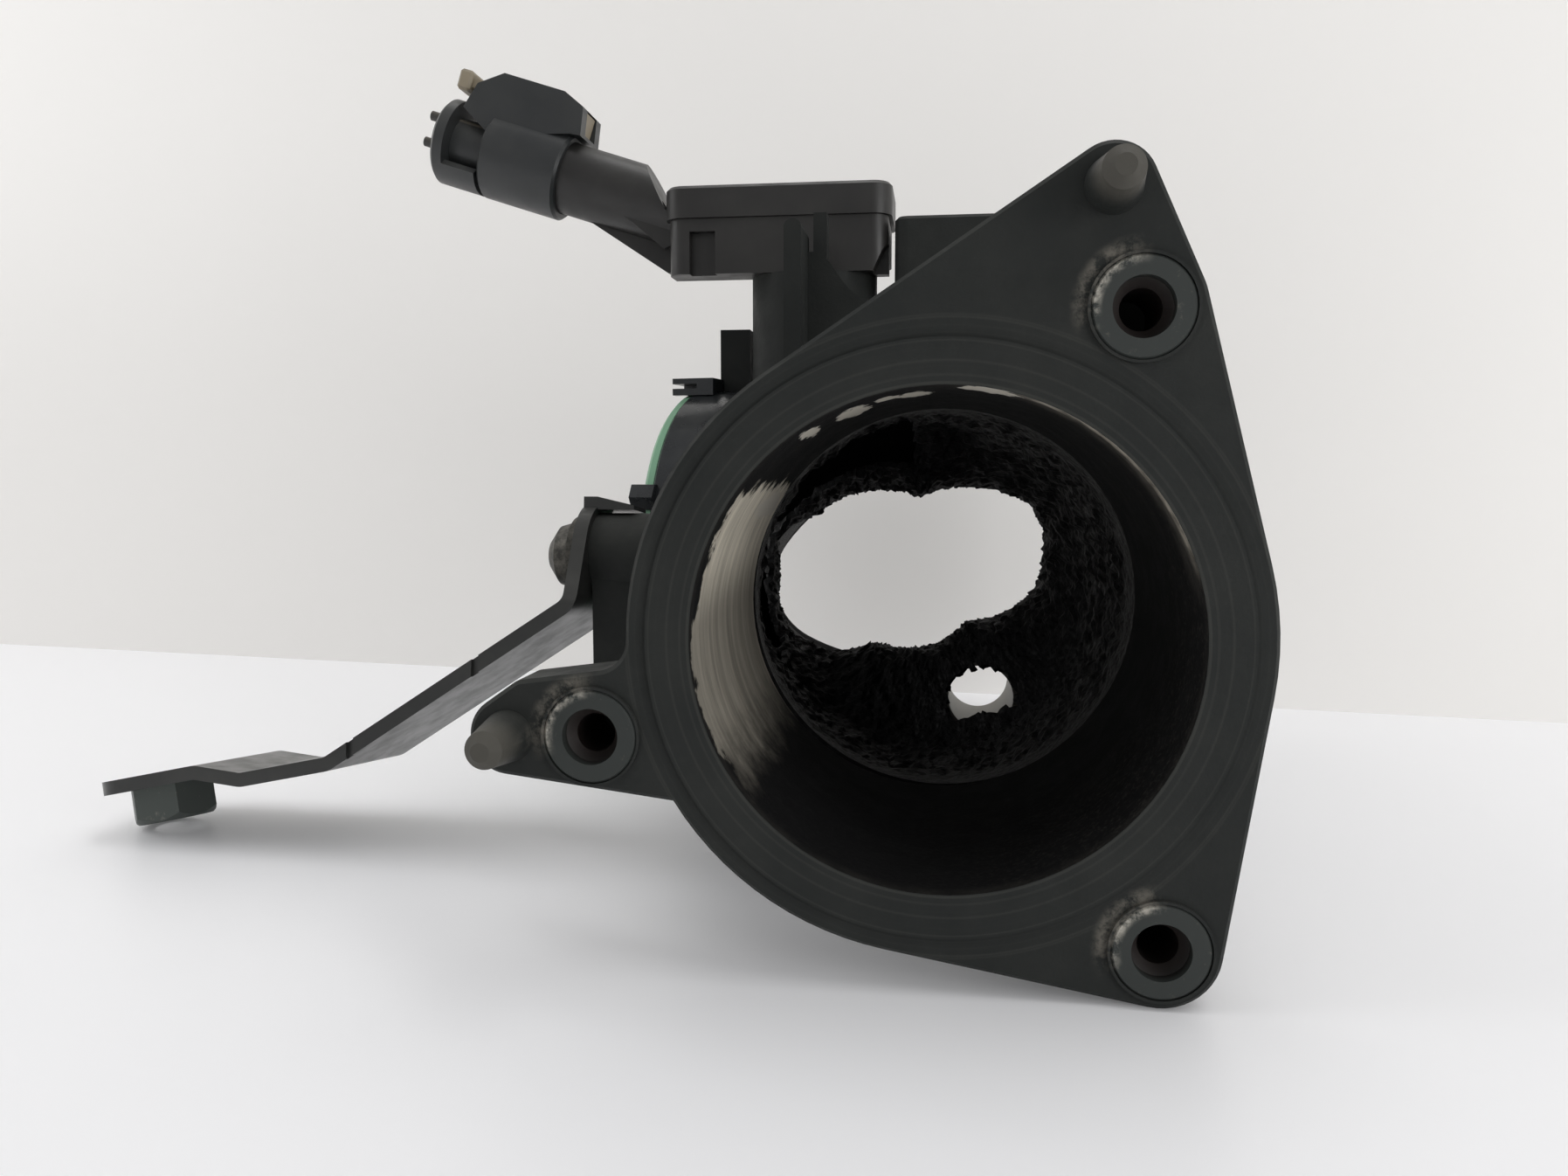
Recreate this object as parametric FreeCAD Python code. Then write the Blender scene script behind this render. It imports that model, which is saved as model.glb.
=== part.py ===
import FreeCAD, Part
import math
import os

from FreeCAD import Rotation, Vector

# Air intake connection piece: a moulded pipe with a three-bolt throttle flange in front, a chamber with
# a coupling port on its left and an oval outlet behind, a pressure sensor with its cut-off plug on top,
# and a pressed steel support bracket. Millimetres. The origin is the centre of the bore on the flange's
# front face, +Y runs back along the bore, +X is right and +Z is up.

# Fits
FIT = 0.05                     # gap between pieces that are moulded, pressed or screwed together
SLIDE_GAP = 0.3                # gap round a piece that slides
EPS = 1.0                      # how far a cutting tool runs past the face it opens
FAR = 60.0                     # length of a cutting tool that runs right through a small piece

# Throttle flange
BORE_R = 31.0
RIM = 8.25                     # flat ring of the flange round the bore
FLANGE_T = 9.0
LAND_STEP = 0.6                # the sealing land and the insert seats stand proud by this
LAND_W = 5.6
BOLT_CIRCLE_R = 45.6
BOLT_ANGLE_UPPER = 60.3
BOLT_ANGLE_LOWER = -54.0
BOLT_ANGLE_EAR = 196.0
LOBE_R = 7.4                   # rounding of the flange round each insert
LOBE_DEPTH = 19.0              # the moulded boss behind each insert reaches back this far
FLANGE_EDGE = 0.5
PIN_TOP_X, PIN_TOP_Z = 18.9, 53.4
PIN_EAR_X, PIN_EAR_Z = -54.9, -12.9
PIN_LOBE_R = 5.1
PIN_BASE_R = 3.4
PIN_TIP_R = 2.4
PIN_L = 8.6
EAR_SHOULDER_R = 2.2
EAR_ROOT_FILLET = 4.0
EAR_TAPER = 1.5                # the ear is this much taller at the ring than round its insert
PIN_BEVEL = 1.2

# Threaded inserts of the flange, M6
INSERT_HEAD_R = 6.0
INSERT_HEAD_T = 1.6
INSERT_BODY_R = 4.7
INSERT_L = 15.0
INSERT_LEAD_R = 3.6
INSERT_LEAD_L = 1.8
INSERT_BEVEL = 0.3
M6_CORE_R = 2.5

# Pipe and chamber
WALL = 3.2
NECK_L = 53.0
NECK_STEP = 0.3                # the chamber begins this much wider than the neck
CHAMBER_R = 36.2
CHAMBER_END_X, CHAMBER_END_Z = -6.0, -4.0    # its axis leaves the bore's axis by this at its end
CHAMBER_SWELL_L = 42.0         # length over which it widens
CHAMBER_BANDS = 3              # bands that the chamber's wall is drawn in
CHAMBER_L = 77.0               # from the neck to the inside of the back wall
BACK_ROUND = 5.0

# Outlet behind
OUTLET_X, OUTLET_Z = -7.0, -2.5
OUTLET_RX, OUTLET_RZ = 36.0, 23.5
OUTLET_END_R = 16.0            # radius of the oval's two ends
OUTLET_TURN = 13.0
OUTLET_DUCT_L = 16.0           # from the chamber's back wall to the outlet flange
OUTLET_FLANGE_T = 8.0
OUTLET_LUG_R = 6.5
OUTLET_LUG_DX = 40.0
OUTLET_LUG_UP = 27.0
SLEEVE_R = 4.6
M6_CLEARANCE_R = 3.3

# Small port low in the back wall
EGR_X, EGR_Z = 9.2, -31.0
EGR_R = 8.6
EGR_BUSH_T = 1.2
EGR_WALL = 2.4

# Coupling port on the left
PORT_X, PORT_Y, PORT_Z = -50.5, 100.0, 7.0
PORT_YAW = 10.0                # the port's axis points left and this much to the back
PORT_BORE_R = 25.0
PORT_TUBE_R = 28.4
PORT_L = 30.0
COLLAR_T = 1.8
COLLAR_L = 17.0
COLLAR_EDGE = 0.5
COLLAR_CLEAR = 0.5             # gap between the collar and what it passes
COLLAR_LUG_W = 7.0
COLLAR_LUG_H = 2.0
COLLAR_LUG_L = 8.6
COLLAR_SLOT = 0.9
PORT_SEAL_T = 2.0
PORT_SEAL_OUT = 1.4            # the seal reaches this far past the tube
SEAL_LIP = 0.8                 # bevels of the seal, and how far its lip stays off the bore
NUB_R = 2.7
NUB_OUT = 1.6                  # the nub stands out past the port's rim
NUB_ANGLE = 18.0
COLLAR_LUG_SIDE = 6.0          # the lug sits this far to the front of the top

# Turret and sensor
TURRET_X, TURRET_Y = -25.7, 95.0
TURRET_R = 12.3
TURRET_TOP = 58.5
TURRET_BORE_R = 9.0
SPIGOT_GAP = 0.2
SPIGOT_L = 16.0
TIP_R = 4.2
TIP_L = 10.4                   # it ends just above the coupling port's bore
TIP_WALL = 1.0
TIP_FLOOR, TIP_ROOF = 1.2, 3.0
TIP_SLOT_W, TIP_SLOT_L, TIP_SLOT_UP = 1.6, 5.0, 2.0
SPIGOT_CLOSED = 2.0            # the spigot's bore ends this far below the turret's top
O_RING_R = 1.1
SENSOR_W = 42.2
SENSOR_D = 20.0
SENSOR_H = 10.4
SENSOR_LEFT = -53.1
SENSOR_CORNER_R = 3.0
LID_H = 6.1
LID_OVER = 0.7
CHIP = 3.2                     # broken corner low on the right of the housing
RECESS_IN = 4.3
RECESS_W, RECESS_D, RECESS_H = 5.0, 2.2, 8.0
UNDERSIDE_STEP, UNDERSIDE_FRONT = 3.0, 8.0
SENSOR_LUG_R = 5.0
SENSOR_LUG_T = 4.5
SENSOR_POST_Y = 112.0
SENSOR_POST_X = -31.0
M5_R = 2.5
M5_CORE_R = 2.1
BRASS_INSERT_R = 3.4
BRASS_INSERT_L = 9.0
BRASS_GROOVE_W, BRASS_GROOVE_D = 1.2, 0.4
PAN_R, PAN_TOP_R = 4.3, 3.2    # pan head of the sensor's screw
PAN_SIDE_H, PAN_H = 1.4, 3.1
PAN_RECESS_R = 1.8

# Socket and plug. Their axis lies in the sensor's mid plane, tilted up to the left
PLUG_TILT = 18.0
SOCKET_X, SOCKET_Z = -57.1, 73.6
SOCKET_R = 7.0
SOCKET_WALL = 1.3
SOCKET_L = 31.0
SOCKET_FLOOR = 6.0
SOCKET_BACK = 10.0             # the socket's tube reaches this far back, into the sensor's side
RIB_T = 1.6
# Outlines along and above the socket's axis: the slanted cut on its tube and the webs below it
SOCKET_CUT = [(4.8, 7.4), (-3.4, -1.2), (-12.0, -1.2), (-12.0, 10.0)]
CENTRE_WEB = [(14.4, -6.4), (-6.0, -12.0), (-10.0, -9.0), (-7.5, 1.0), (8.0, -5.0)]
SIDE_WEB = [(14.8, -1.2), (2.4, -5.2), (-5.0, -8.2), (-8.5, -4.6), (-2.0, 0.4), (8.0, 1.2)]
COLLAR_START, COLLAR_END = 19.3, 35.7
PLUG_COLLAR_R = 8.5
PLUG_COLLAR_GAP = 0.15
PLUG_EDGE = 0.5
PLUG_BODY_R = 5.2
PLUG_BODY_END = 43.2
PLUG_CORE_START = 11.0
LATCH_W = 12.0
LATCH_TOP = 14.8
# Outline of the latch block along and above the plug's axis
LATCH_SHAPE = [(42.0, 6.4), (40.4, 11.5), (35.6, LATCH_TOP), (22.8, LATCH_TOP), (18.4, 13.0), (17.4, 7.6),
               (19.6, 7.4), (34.0, 3.0), (36.0, 3.0)]
PLUG_SEAL_START, PLUG_SEAL_L, PLUG_SEAL_D = 20.0, 3.0, 1.2
BLADE_GAP = 0.2                # round each terminal in the plug
LOCK_W = 5.6
LOCK_T = 1.7
LOCK_N = 11.0                  # underside of the lock's strip, above the plug's axis
LOCK_HEAD_L, LOCK_HEAD_H, LOCK_HEAD_W = 2.8, 4.0, 8.0
LOCK_REAR = 45.6
LOCK_NOSE = 18.6
LOCK_TRAVEL = 4.0              # how far it slides home from here
LOCK_NOSE_L, LOCK_NOSE_H = 2.6, 2.4
LOCK_HEAD_DOWN = 1.1           # the head's underside below the strip's
CAP_R = 8.4
CAP_T = 2.6
CAP_LIP_T = 1.7
CAP_LIP_L = 7.0
CAP_LIP_ANGLE = 100.0
WIRE_R = 0.95
WIRE_PITCH = 5.2
WIRE_OUT = 3.6
WIRE_START = 24.0
WIRE_UP = 0.9                  # the four wires lie this much above the plug's axis
TERMINAL_W, TERMINAL_T = 1.5, 0.6
TERMINAL_PITCH = 2.4
TERMINAL_START, TERMINAL_END = 1.0, 20.0

# Bracket boss on the pipe, bracket, screw and nut
BOSS_X, BOSS_Y, BOSS_Z = -58.3, 56.0, 6.3
BOSS_R = 7.4
BRACKET_YAW = 2.7
BRACKET_ROLL = 7.3             # the bracket hangs this much lower at its far edge
SHEET_T = 2.4
STRIP_W = 25.0
TAB_R = 8.8
TAB_DROP = 8.5                 # from the screw to the first bend
SLOPE = 33.5
FOOT_TILT = 12.0
FLAT_1, JOGGLE_RUN, JOGGLE_RISE, FLAT_2 = 16.4, 8.5, 2.7, 20.6
BEND_R = 2.0
NUT_EDGE = 6.4                 # from the end of the strip to the nut's axis
TAB_LUG_W, TAB_LUG_L, TAB_LUG_UP = 7.0, 6.5, 2.2
FOOT_CORNER_R = 5.0
NOTCHES = (0.38, 0.9)          # small notches in the slope's near edge, as shares of its length
NOTCH_W, NOTCH_D = 1.2, 0.7
NUT_TURN = 12.0
NUT_BEVEL_H = 2.2
NUT_AF = 13.0
NUT_H = 6.5
M8_CORE_R = 3.4
M8_HOLE_R = 4.2
SCREW_COLLAR_R, SCREW_COLLAR_T = 6.7, 1.8
SCREW_DOME_R, SCREW_DOME_H = 5.9, 4.6
SCREW_RECESS_R, SCREW_RECESS_D = 2.3, 2.0
SCREW_NUB_R = 0.7
M6_R = 3.0
SCREW_L = 14.0

# Ribs and blocks moulded on the chamber's roof
FIN_X, FIN_Y, FIN_TOP = -26.0, 68.0, 63.6
FIN_T, FIN_D = 3.0, 12.0
WEB_T = 2.0
WEB_TOP = 59.8
WEB_CURVE = [(2.8, -0.2), (4.4, -7.6), (9.2, -8.4)]    # poles of its fall, from the end of its flat top
POST_2_W, POST_2_TOP = 2.4, 66.6
POST_X, POST_Y, POST_TOP = -41.9, 100.0, 49.2
POST_W, POST_D = 6.0, 8.0
BLOCK_LEFT, BLOCK_W = -9.6, 34.0
BLOCK_TOP, BLOCK_H = 68.2, 14.0
BLOCK_D = 22.0
BLOCK_R = 2.5
BLOCK_EDGE = 0.6
BLOCK_FOOT_IN = 5.0            # the block stands on a narrower foot

# Soot crust inside the chamber
CRUST_T = 2.6
CRUST_MOUTH_T = 0.8            # where it thins out at the neck
CRUST_START = 5.0              # from the neck to the crust's front edge
CRUST_WAVE = 0.9
CRUST_STEPS = 24               # corners of its uneven outline
CRUST_LOBES = (5, 8, 11)

# Places worked out from the sizes above
FLANGE_R = BORE_R + RIM
PIPE_R = BORE_R + WALL
COLLAR_R = PORT_TUBE_R + COLLAR_T
PORT_SEAL_R = PORT_TUBE_R + PORT_SEAL_OUT


def polar(radius, degrees):
    angle = math.radians(degrees)
    return radius * math.cos(angle), radius * math.sin(angle)


INSERT_PLACES = {
    "upper": polar(BOLT_CIRCLE_R, BOLT_ANGLE_UPPER),
    "lower": polar(BOLT_CIRCLE_R, BOLT_ANGLE_LOWER),
    "ear": polar(BOLT_CIRCLE_R, BOLT_ANGLE_EAR),
}
FLOOR_Z = INSERT_PLACES["lower"][1] - LOBE_R
BACK_Y = NECK_L + CHAMBER_L
OUTLET_Y = BACK_Y + WALL + OUTLET_DUCT_L
REAR_Y = OUTLET_Y + OUTLET_FLANGE_T
SLEEVE_PLACES = [
    (OUTLET_X - OUTLET_LUG_DX, OUTLET_Z + OUTLET_LUG_UP),
    (OUTLET_X + OUTLET_LUG_DX, OUTLET_Z + OUTLET_LUG_UP),
    (OUTLET_X - OUTLET_LUG_DX, FLOOR_Z + OUTLET_LUG_R),
    (OUTLET_X + OUTLET_LUG_DX, FLOOR_Z + OUTLET_LUG_R),
]
SENSOR_RIGHT = SENSOR_LEFT + SENSOR_W
SENSOR_FRONT = TURRET_Y - SENSOR_D / 2
SENSOR_TOP = TURRET_TOP + SENSOR_H
SEAT_R = INSERT_HEAD_R + 0.4
NUT_FACE_R = 0.95 * NUT_AF / 2
THREAD_START = INSERT_LEAD_L + INSERT_LEAD_R - M6_CORE_R
TERMINAL_PLACES = [(i - 1.5) * TERMINAL_PITCH for i in range(4)]
WIRE_PLACES = [(y * WIRE_PITCH / 2, WIRE_UP + z * WIRE_PITCH / 2) for y in (-1, 1) for z in (-1, 1)]


# Basic solids

def along_y(radius, start, length, x=0.0, z=0.0):
    return Part.makeCylinder(radius, length, Vector(x, start, z), Vector(0, 1, 0))


def upright(radius, x, y, bottom, top):
    return Part.makeCylinder(radius, top - bottom, Vector(x, y, bottom))


def box(x0, x1, y0, y1, z0, z1):
    return Part.makeBox(x1 - x0, y1 - y0, z1 - z0, Vector(x0, y0, z0))


def prism(points, direction):
    """A closed polygon of points, pushed along direction."""
    wire = Part.makePolygon(list(points) + [points[0]])
    return Part.Face(wire).extrude(direction)


def round_upright(solid, radius):
    """Rounds the upright edges of a box."""
    edges = [e for e in solid.Edges if abs(e.tangentAt(e.FirstParameter).z) > 0.99]
    return solid.makeFillet(radius, edges)


def turned(profile, origin=Vector(0, 0, 0)):
    """Revolves a profile of (radius, y) points about the Y axis through origin."""
    points = [origin + Vector(r, y, 0) for r, y in profile]
    face = Part.Face(Part.makePolygon(points + [points[0]]))
    return face.revolve(origin, Vector(0, 1, 0), 360)


def hull_wire(circles, y):
    """Outline round circles (x, z, radius), listed anticlockwise as seen from the front."""
    normals = []
    for first, second in zip(circles, circles[1:] + circles[:1]):
        dx, dz = second[0] - first[0], second[1] - first[1]
        distance = math.hypot(dx, dz)
        lean = (first[2] - second[2]) / distance
        side = math.sqrt(1 - lean * lean)
        ux, uz = dx / distance, dz / distance
        normals.append((ux * lean + uz * side, uz * lean - ux * side))
    edges = []
    for i, (x, z, r) in enumerate(circles):
        start, end = normals[i - 1], normals[i]
        a0 = math.atan2(start[1], start[0])
        a1 = math.atan2(end[1], end[0])
        while a1 < a0:
            a1 += 2 * math.pi
        ends = [Vector(x + r * math.cos(a), y, z + r * math.sin(a)) for a in (a0, (a0 + a1) / 2, a1)]
        edges.append(Part.Arc(*ends).toShape())
        nx, nz, nr = circles[(i + 1) % len(circles)]
        landing = Vector(nx + nr * end[0], y, nz + nr * end[1])
        edges.append(Part.LineSegment(ends[2], landing).toShape())
    return Part.Wire(edges)


def hull_plate(circles, start, thickness):
    return Part.Face(hull_wire(circles, start)).extrude(Vector(0, thickness, 0))


def lumpy_wire(y, radius_x, radius_z, phase, centre=Vector(0, 0, 0), turn=0.0):
    """A closed uneven outline across the pipe, with corners, as the soot's surface has."""
    points = []
    for i in range(CRUST_STEPS):
        a = 2 * math.pi * i / CRUST_STEPS
        dent = CRUST_WAVE * sum(math.sin(n * a + n * phase) for n in CRUST_LOBES) / 2
        points.append(Vector((radius_x + dent) * math.cos(a), y, (radius_z + dent) * math.sin(a)))
    wire = Part.makePolygon(points + [points[0]])
    wire.rotate(Vector(0, 0, 0), Vector(0, 1, 0), -turn)
    wire.translate(centre)
    return wire


def chamber_stations(grow, mouth_grow):
    """Distance from the neck and radius along the chamber's own axis: it swells from the neck, runs
    level and ends in a rounded back wall."""
    mouth_r = BORE_R + NECK_STEP
    level_l = CHAMBER_L - BACK_ROUND
    stations = [(0, mouth_r + mouth_grow)]
    for i in range(1, CHAMBER_BANDS + 1):
        along = level_l * i / CHAMBER_BANDS
        swell = math.sin(min(along / CHAMBER_SWELL_L, 1.0) * math.pi / 2) ** 2
        stations.append((along, mouth_r + (CHAMBER_R - mouth_r) * swell + grow))
    for angle in (45, 90):
        across, on = polar(BACK_ROUND, angle)
        on *= 1 + min(grow, WALL) / BACK_ROUND
        stations.append((level_l + on, CHAMBER_R + grow - BACK_ROUND + across))
    return stations


def chamber(grow):
    """The chamber's room, grown or shrunk all round."""
    stations = chamber_stations(grow, grow)
    profile = [(0, 0)] + [(radius, along) for along, radius in stations] + [(0, stations[-1][0])]
    return placed(turned(profile), CHAMBER_FRAME)


def crusted_chamber():
    """What the soot leaves of the chamber's room."""
    wires = [lumpy_wire(along, radius, radius, 0.7 * i)
             for i, (along, radius) in enumerate(chamber_stations(-CRUST_T, -CRUST_MOUTH_T))]
    return placed(Part.makeLoft(wires, True, True), CHAMBER_FRAME)


def outlet_oval(start, length, grow):
    """The outlet's oval, of two end arcs and two flatter ones between them, pushed back from start."""
    reach = OUTLET_RX - OUTLET_END_R
    flat_r = (reach ** 2 + OUTLET_RZ ** 2 - OUTLET_END_R ** 2) / (2 * (OUTLET_RZ - OUTLET_END_R))
    drop = flat_r - OUTLET_RZ
    lean = math.degrees(math.atan2(drop, reach))
    arcs = [
        (reach, 0.0, OUTLET_END_R, -lean, lean),
        (0.0, -drop, flat_r, lean, 180 - lean),
        (-reach, 0.0, OUTLET_END_R, 180 - lean, 180 + lean),
        (0.0, drop, flat_r, 180 + lean, 360 - lean),
    ]
    edges = []
    for x, z, radius, first, last in arcs:
        ends = [polar(radius + grow, angle) for angle in (first, (first + last) / 2, last)]
        edges.append(Part.Arc(*[Vector(x + across, 0, z + up) for across, up in ends]).toShape())
    wire = Part.Wire(edges)
    wire.rotate(Vector(0, 0, 0), Vector(0, 1, 0), -OUTLET_TURN)
    wire.translate(Vector(OUTLET_X, start, OUTLET_Z))
    return Part.Face(wire).extrude(Vector(0, length, 0))


def crusted_outlet(start, length):
    """What the soot leaves of the outlet's room."""
    wire = lumpy_wire(0, OUTLET_RX - CRUST_T, OUTLET_RZ - CRUST_T, 0.4, Vector(OUTLET_X, start, OUTLET_Z),
                      OUTLET_TURN)
    return Part.Face(wire).extrude(Vector(0, length, 0))


# Frames of the port, the plug and the bracket

UP = Vector(0, 0, 1)
PORT_AXIS = Vector(-math.cos(math.radians(PORT_YAW)), math.sin(math.radians(PORT_YAW)), 0)
CHAMBER_FRAME = FreeCAD.Placement(
    Vector(0, NECK_L, 0),
    Rotation(Vector(0, 1, 0), Vector(CHAMBER_END_X, CHAMBER_L - BACK_ROUND, CHAMBER_END_Z)),
)
PORT_FRAME = FreeCAD.Placement(
    Vector(PORT_X, PORT_Y, PORT_Z), Rotation(UP.cross(PORT_AXIS), UP, PORT_AXIS, "ZYX")
)
PLUG_AXIS = Vector(-math.cos(math.radians(PLUG_TILT)), 0, math.sin(math.radians(PLUG_TILT)))
PLUG_FRAME = FreeCAD.Placement(
    Vector(SOCKET_X, TURRET_Y, SOCKET_Z),
    Rotation(PLUG_AXIS, Vector(0, -1, 0), PLUG_AXIS.cross(Vector(0, -1, 0)), "XYZ"),
)
BRACKET_FRAME = FreeCAD.Placement(
    Vector(BOSS_X, BOSS_Y, BOSS_Z),
    Rotation(UP, -BRACKET_YAW).multiply(Rotation(Vector(1, 0, 0), -BRACKET_ROLL)),
)


def placed(solid, frame):
    """A solid built in its own frame, brought to its place on the part."""
    copy = solid.copy()
    copy.transformShape(frame.toMatrix(), True)
    return copy


def ring(outer, inner, start, length, axis=Vector(0, 0, 1)):
    """A tube along an axis of its own frame."""
    tube = Part.makeCylinder(outer, length, axis * start, axis)
    return tube.cut(Part.makeCylinder(inner, length + 2 * EPS, axis * (start - EPS), axis))


# The moulded pipe

def throttle_flange():
    """The front plate with its ear, sealing land, insert seats and locating pins."""
    upper, lower, ear = (INSERT_PLACES[name] for name in ("upper", "lower", "ear"))
    plate = hull_plate(
        [
            (0.0, 0.0, FLANGE_R),
            (lower[0], lower[1], LOBE_R),
            (0.0, 0.0, FLANGE_R),
            (upper[0], upper[1], LOBE_R),
            (PIN_TOP_X, PIN_TOP_Z, PIN_LOBE_R),
        ],
        LAND_STEP, FLANGE_T - LAND_STEP,
    )
    ear_plate = hull_plate(
        [
            (-BORE_R, ear[1] - LOBE_R, 1.0),
            (-BORE_R, ear[1] + LOBE_R + EAR_TAPER, 1.0),
            (PIN_EAR_X + EAR_SHOULDER_R, PIN_EAR_Z + PIN_LOBE_R, EAR_SHOULDER_R),
            (PIN_EAR_X, PIN_EAR_Z, PIN_LOBE_R),
        ],
        LAND_STEP, FLANGE_T - LAND_STEP,
    )
    plate = plate.fuse(ear_plate).removeSplitter()
    roots = [
        e for e in plate.Edges
        if abs(e.tangentAt(e.FirstParameter).y) > 0.99
        and abs(math.hypot(e.CenterOfMass.x, e.CenterOfMass.z) - FLANGE_R) < 0.2
        and e.CenterOfMass.x < -BORE_R
    ]
    top_root = max(roots, key=lambda e: e.CenterOfMass.z)
    plate = plate.makeFillet(EAR_ROOT_FILLET, [top_root])
    front = min(plate.Faces, key=lambda f: f.CenterOfMass.y)
    plate = plate.makeChamfer(FLANGE_EDGE, front.OuterWire.Edges)
    plate = plate.fuse(along_y(BORE_R + LAND_W, 0, FLANGE_T))
    for x, z in INSERT_PLACES.values():
        plate = plate.fuse(along_y(SEAT_R, 0, LOBE_DEPTH, x, z))
    for x, z in ((PIN_TOP_X, PIN_TOP_Z), (PIN_EAR_X, PIN_EAR_Z)):
        profile = [
            (0, -PIN_L), (PIN_TIP_R - PIN_BEVEL, -PIN_L), (PIN_TIP_R, -PIN_L + PIN_BEVEL),
            (PIN_BASE_R, LAND_STEP), (PIN_BASE_R, FLANGE_T / 2), (0, FLANGE_T / 2),
        ]
        plate = plate.fuse(turned(profile, Vector(x, 0, z)))
    return plate


def flange_ribs():
    """Webs behind the flange, from the pipe to each insert boss."""
    ribs = []
    for x, z in INSERT_PLACES.values():
        length = math.hypot(x, z)
        web = box(0, length - INSERT_BODY_R, FLANGE_T - EPS, LOBE_DEPTH, -RIB_T, RIB_T)
        web.rotate(Vector(0, 0, 0), Vector(0, 1, 0), -math.degrees(math.atan2(z, x)))
        ribs.append(web)
    return ribs


def outlet_flange():
    """The plate behind, whose lower edge stands on the same surface as the front flange."""
    x0, x1 = SLEEVE_PLACES[0][0], SLEEVE_PLACES[1][0]
    top, bottom = SLEEVE_PLACES[0][1], SLEEVE_PLACES[2][1]
    corners = [(x0, bottom), (x1, bottom), (x1, top), (x0, top)]
    return hull_plate([(x, z, OUTLET_LUG_R) for x, z in corners], OUTLET_Y, OUTLET_FLANGE_T)


def bracket_boss():
    """The round boss for the bracket with the web below it."""
    reach = -BOSS_X - BORE_R
    boss = placed(Part.makeCylinder(BOSS_R, reach, Vector(0, 0, 0), Vector(1, 0, 0)), BRACKET_FRAME)
    web_y = BOSS_Y - BOSS_R + RIB_T / 2
    web = box(BOSS_X + FIT, -BORE_R, web_y, web_y + RIB_T, BOSS_Z - 2.9 * BOSS_R, BOSS_Z)
    return boss.fuse(web)


def roof_fin():
    """A thin upright fin with a curved web and a short post beside it."""
    half_t, half_d = FIN_T / 2, FIN_D / 2
    fin = box(FIN_X - half_t, FIN_X + half_t, FIN_Y - half_d, FIN_Y + half_d, BORE_R - WALL, FIN_TOP)
    top_edges = [
        e for e in fin.Edges
        if abs(e.CenterOfMass.z - FIN_TOP) < 0.01 and abs(e.tangentAt(e.FirstParameter).y) > 0.99
    ]
    fin = fin.makeFillet(half_t * 0.9, top_edges)
    web_y = FIN_Y + half_d - WEB_T
    start = Vector(FIN_X, web_y, WEB_TOP)
    knee = Vector(FIN_X + FIN_T, web_y, WEB_TOP)
    curve = Part.BSplineCurve()
    curve.buildFromPoles([knee] + [knee + Vector(across, 0, up) for across, up in WEB_CURVE])
    end = curve.EndPoint
    foot, corner = Vector(end.x, web_y, BORE_R - WALL), Vector(FIN_X, web_y, BORE_R - WALL)
    outline = [
        Part.LineSegment(start, knee).toShape(), curve.toShape(), Part.LineSegment(end, foot).toShape(),
        Part.LineSegment(foot, corner).toShape(), Part.LineSegment(corner, start).toShape(),
    ]
    web = Part.Face(Part.Wire(outline)).extrude(Vector(0, WEB_T, 0))
    post_x = FIN_X + half_t + EPS
    post = box(post_x, post_x + POST_2_W, web_y, web_y + 2 * WEB_T, BORE_R - WALL, POST_2_TOP)
    return fin.fuse([web, post])


def roof_block():
    """The closed moulded block beside the sensor."""
    y0 = TURRET_Y - BLOCK_D / 2
    block = round_upright(
        box(BLOCK_LEFT, BLOCK_LEFT + BLOCK_W, y0, y0 + BLOCK_D, BLOCK_TOP - BLOCK_H, BLOCK_TOP), BLOCK_R)
    top = max(block.Faces, key=lambda f: f.CenterOfMass.z)
    block = block.makeChamfer(BLOCK_EDGE, top.Edges)
    foot = round_upright(
        box(BLOCK_LEFT + BLOCK_FOOT_IN, BLOCK_LEFT + BLOCK_W - BLOCK_FOOT_IN, y0 + BLOCK_FOOT_IN,
            y0 + BLOCK_D - BLOCK_FOOT_IN, BORE_R - WALL, BLOCK_TOP - BLOCK_H + EPS), BLOCK_R)
    return block.fuse(foot)


def roof_columns(grow):
    """The sensor's turret, the column of its screw and the small post beside them."""
    half_w, half_d = POST_W / 2 + grow, POST_D / 2 + grow
    return [
        upright(TURRET_R + grow, TURRET_X, TURRET_Y, BORE_R - WALL, TURRET_TOP),
        upright(SENSOR_LUG_R + grow, SENSOR_POST_X, SENSOR_POST_Y, BORE_R - WALL, TURRET_TOP),
        box(POST_X - half_w, POST_X + half_w, POST_Y - half_d, POST_Y + half_d, BORE_R - WALL, POST_TOP),
    ]


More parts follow.
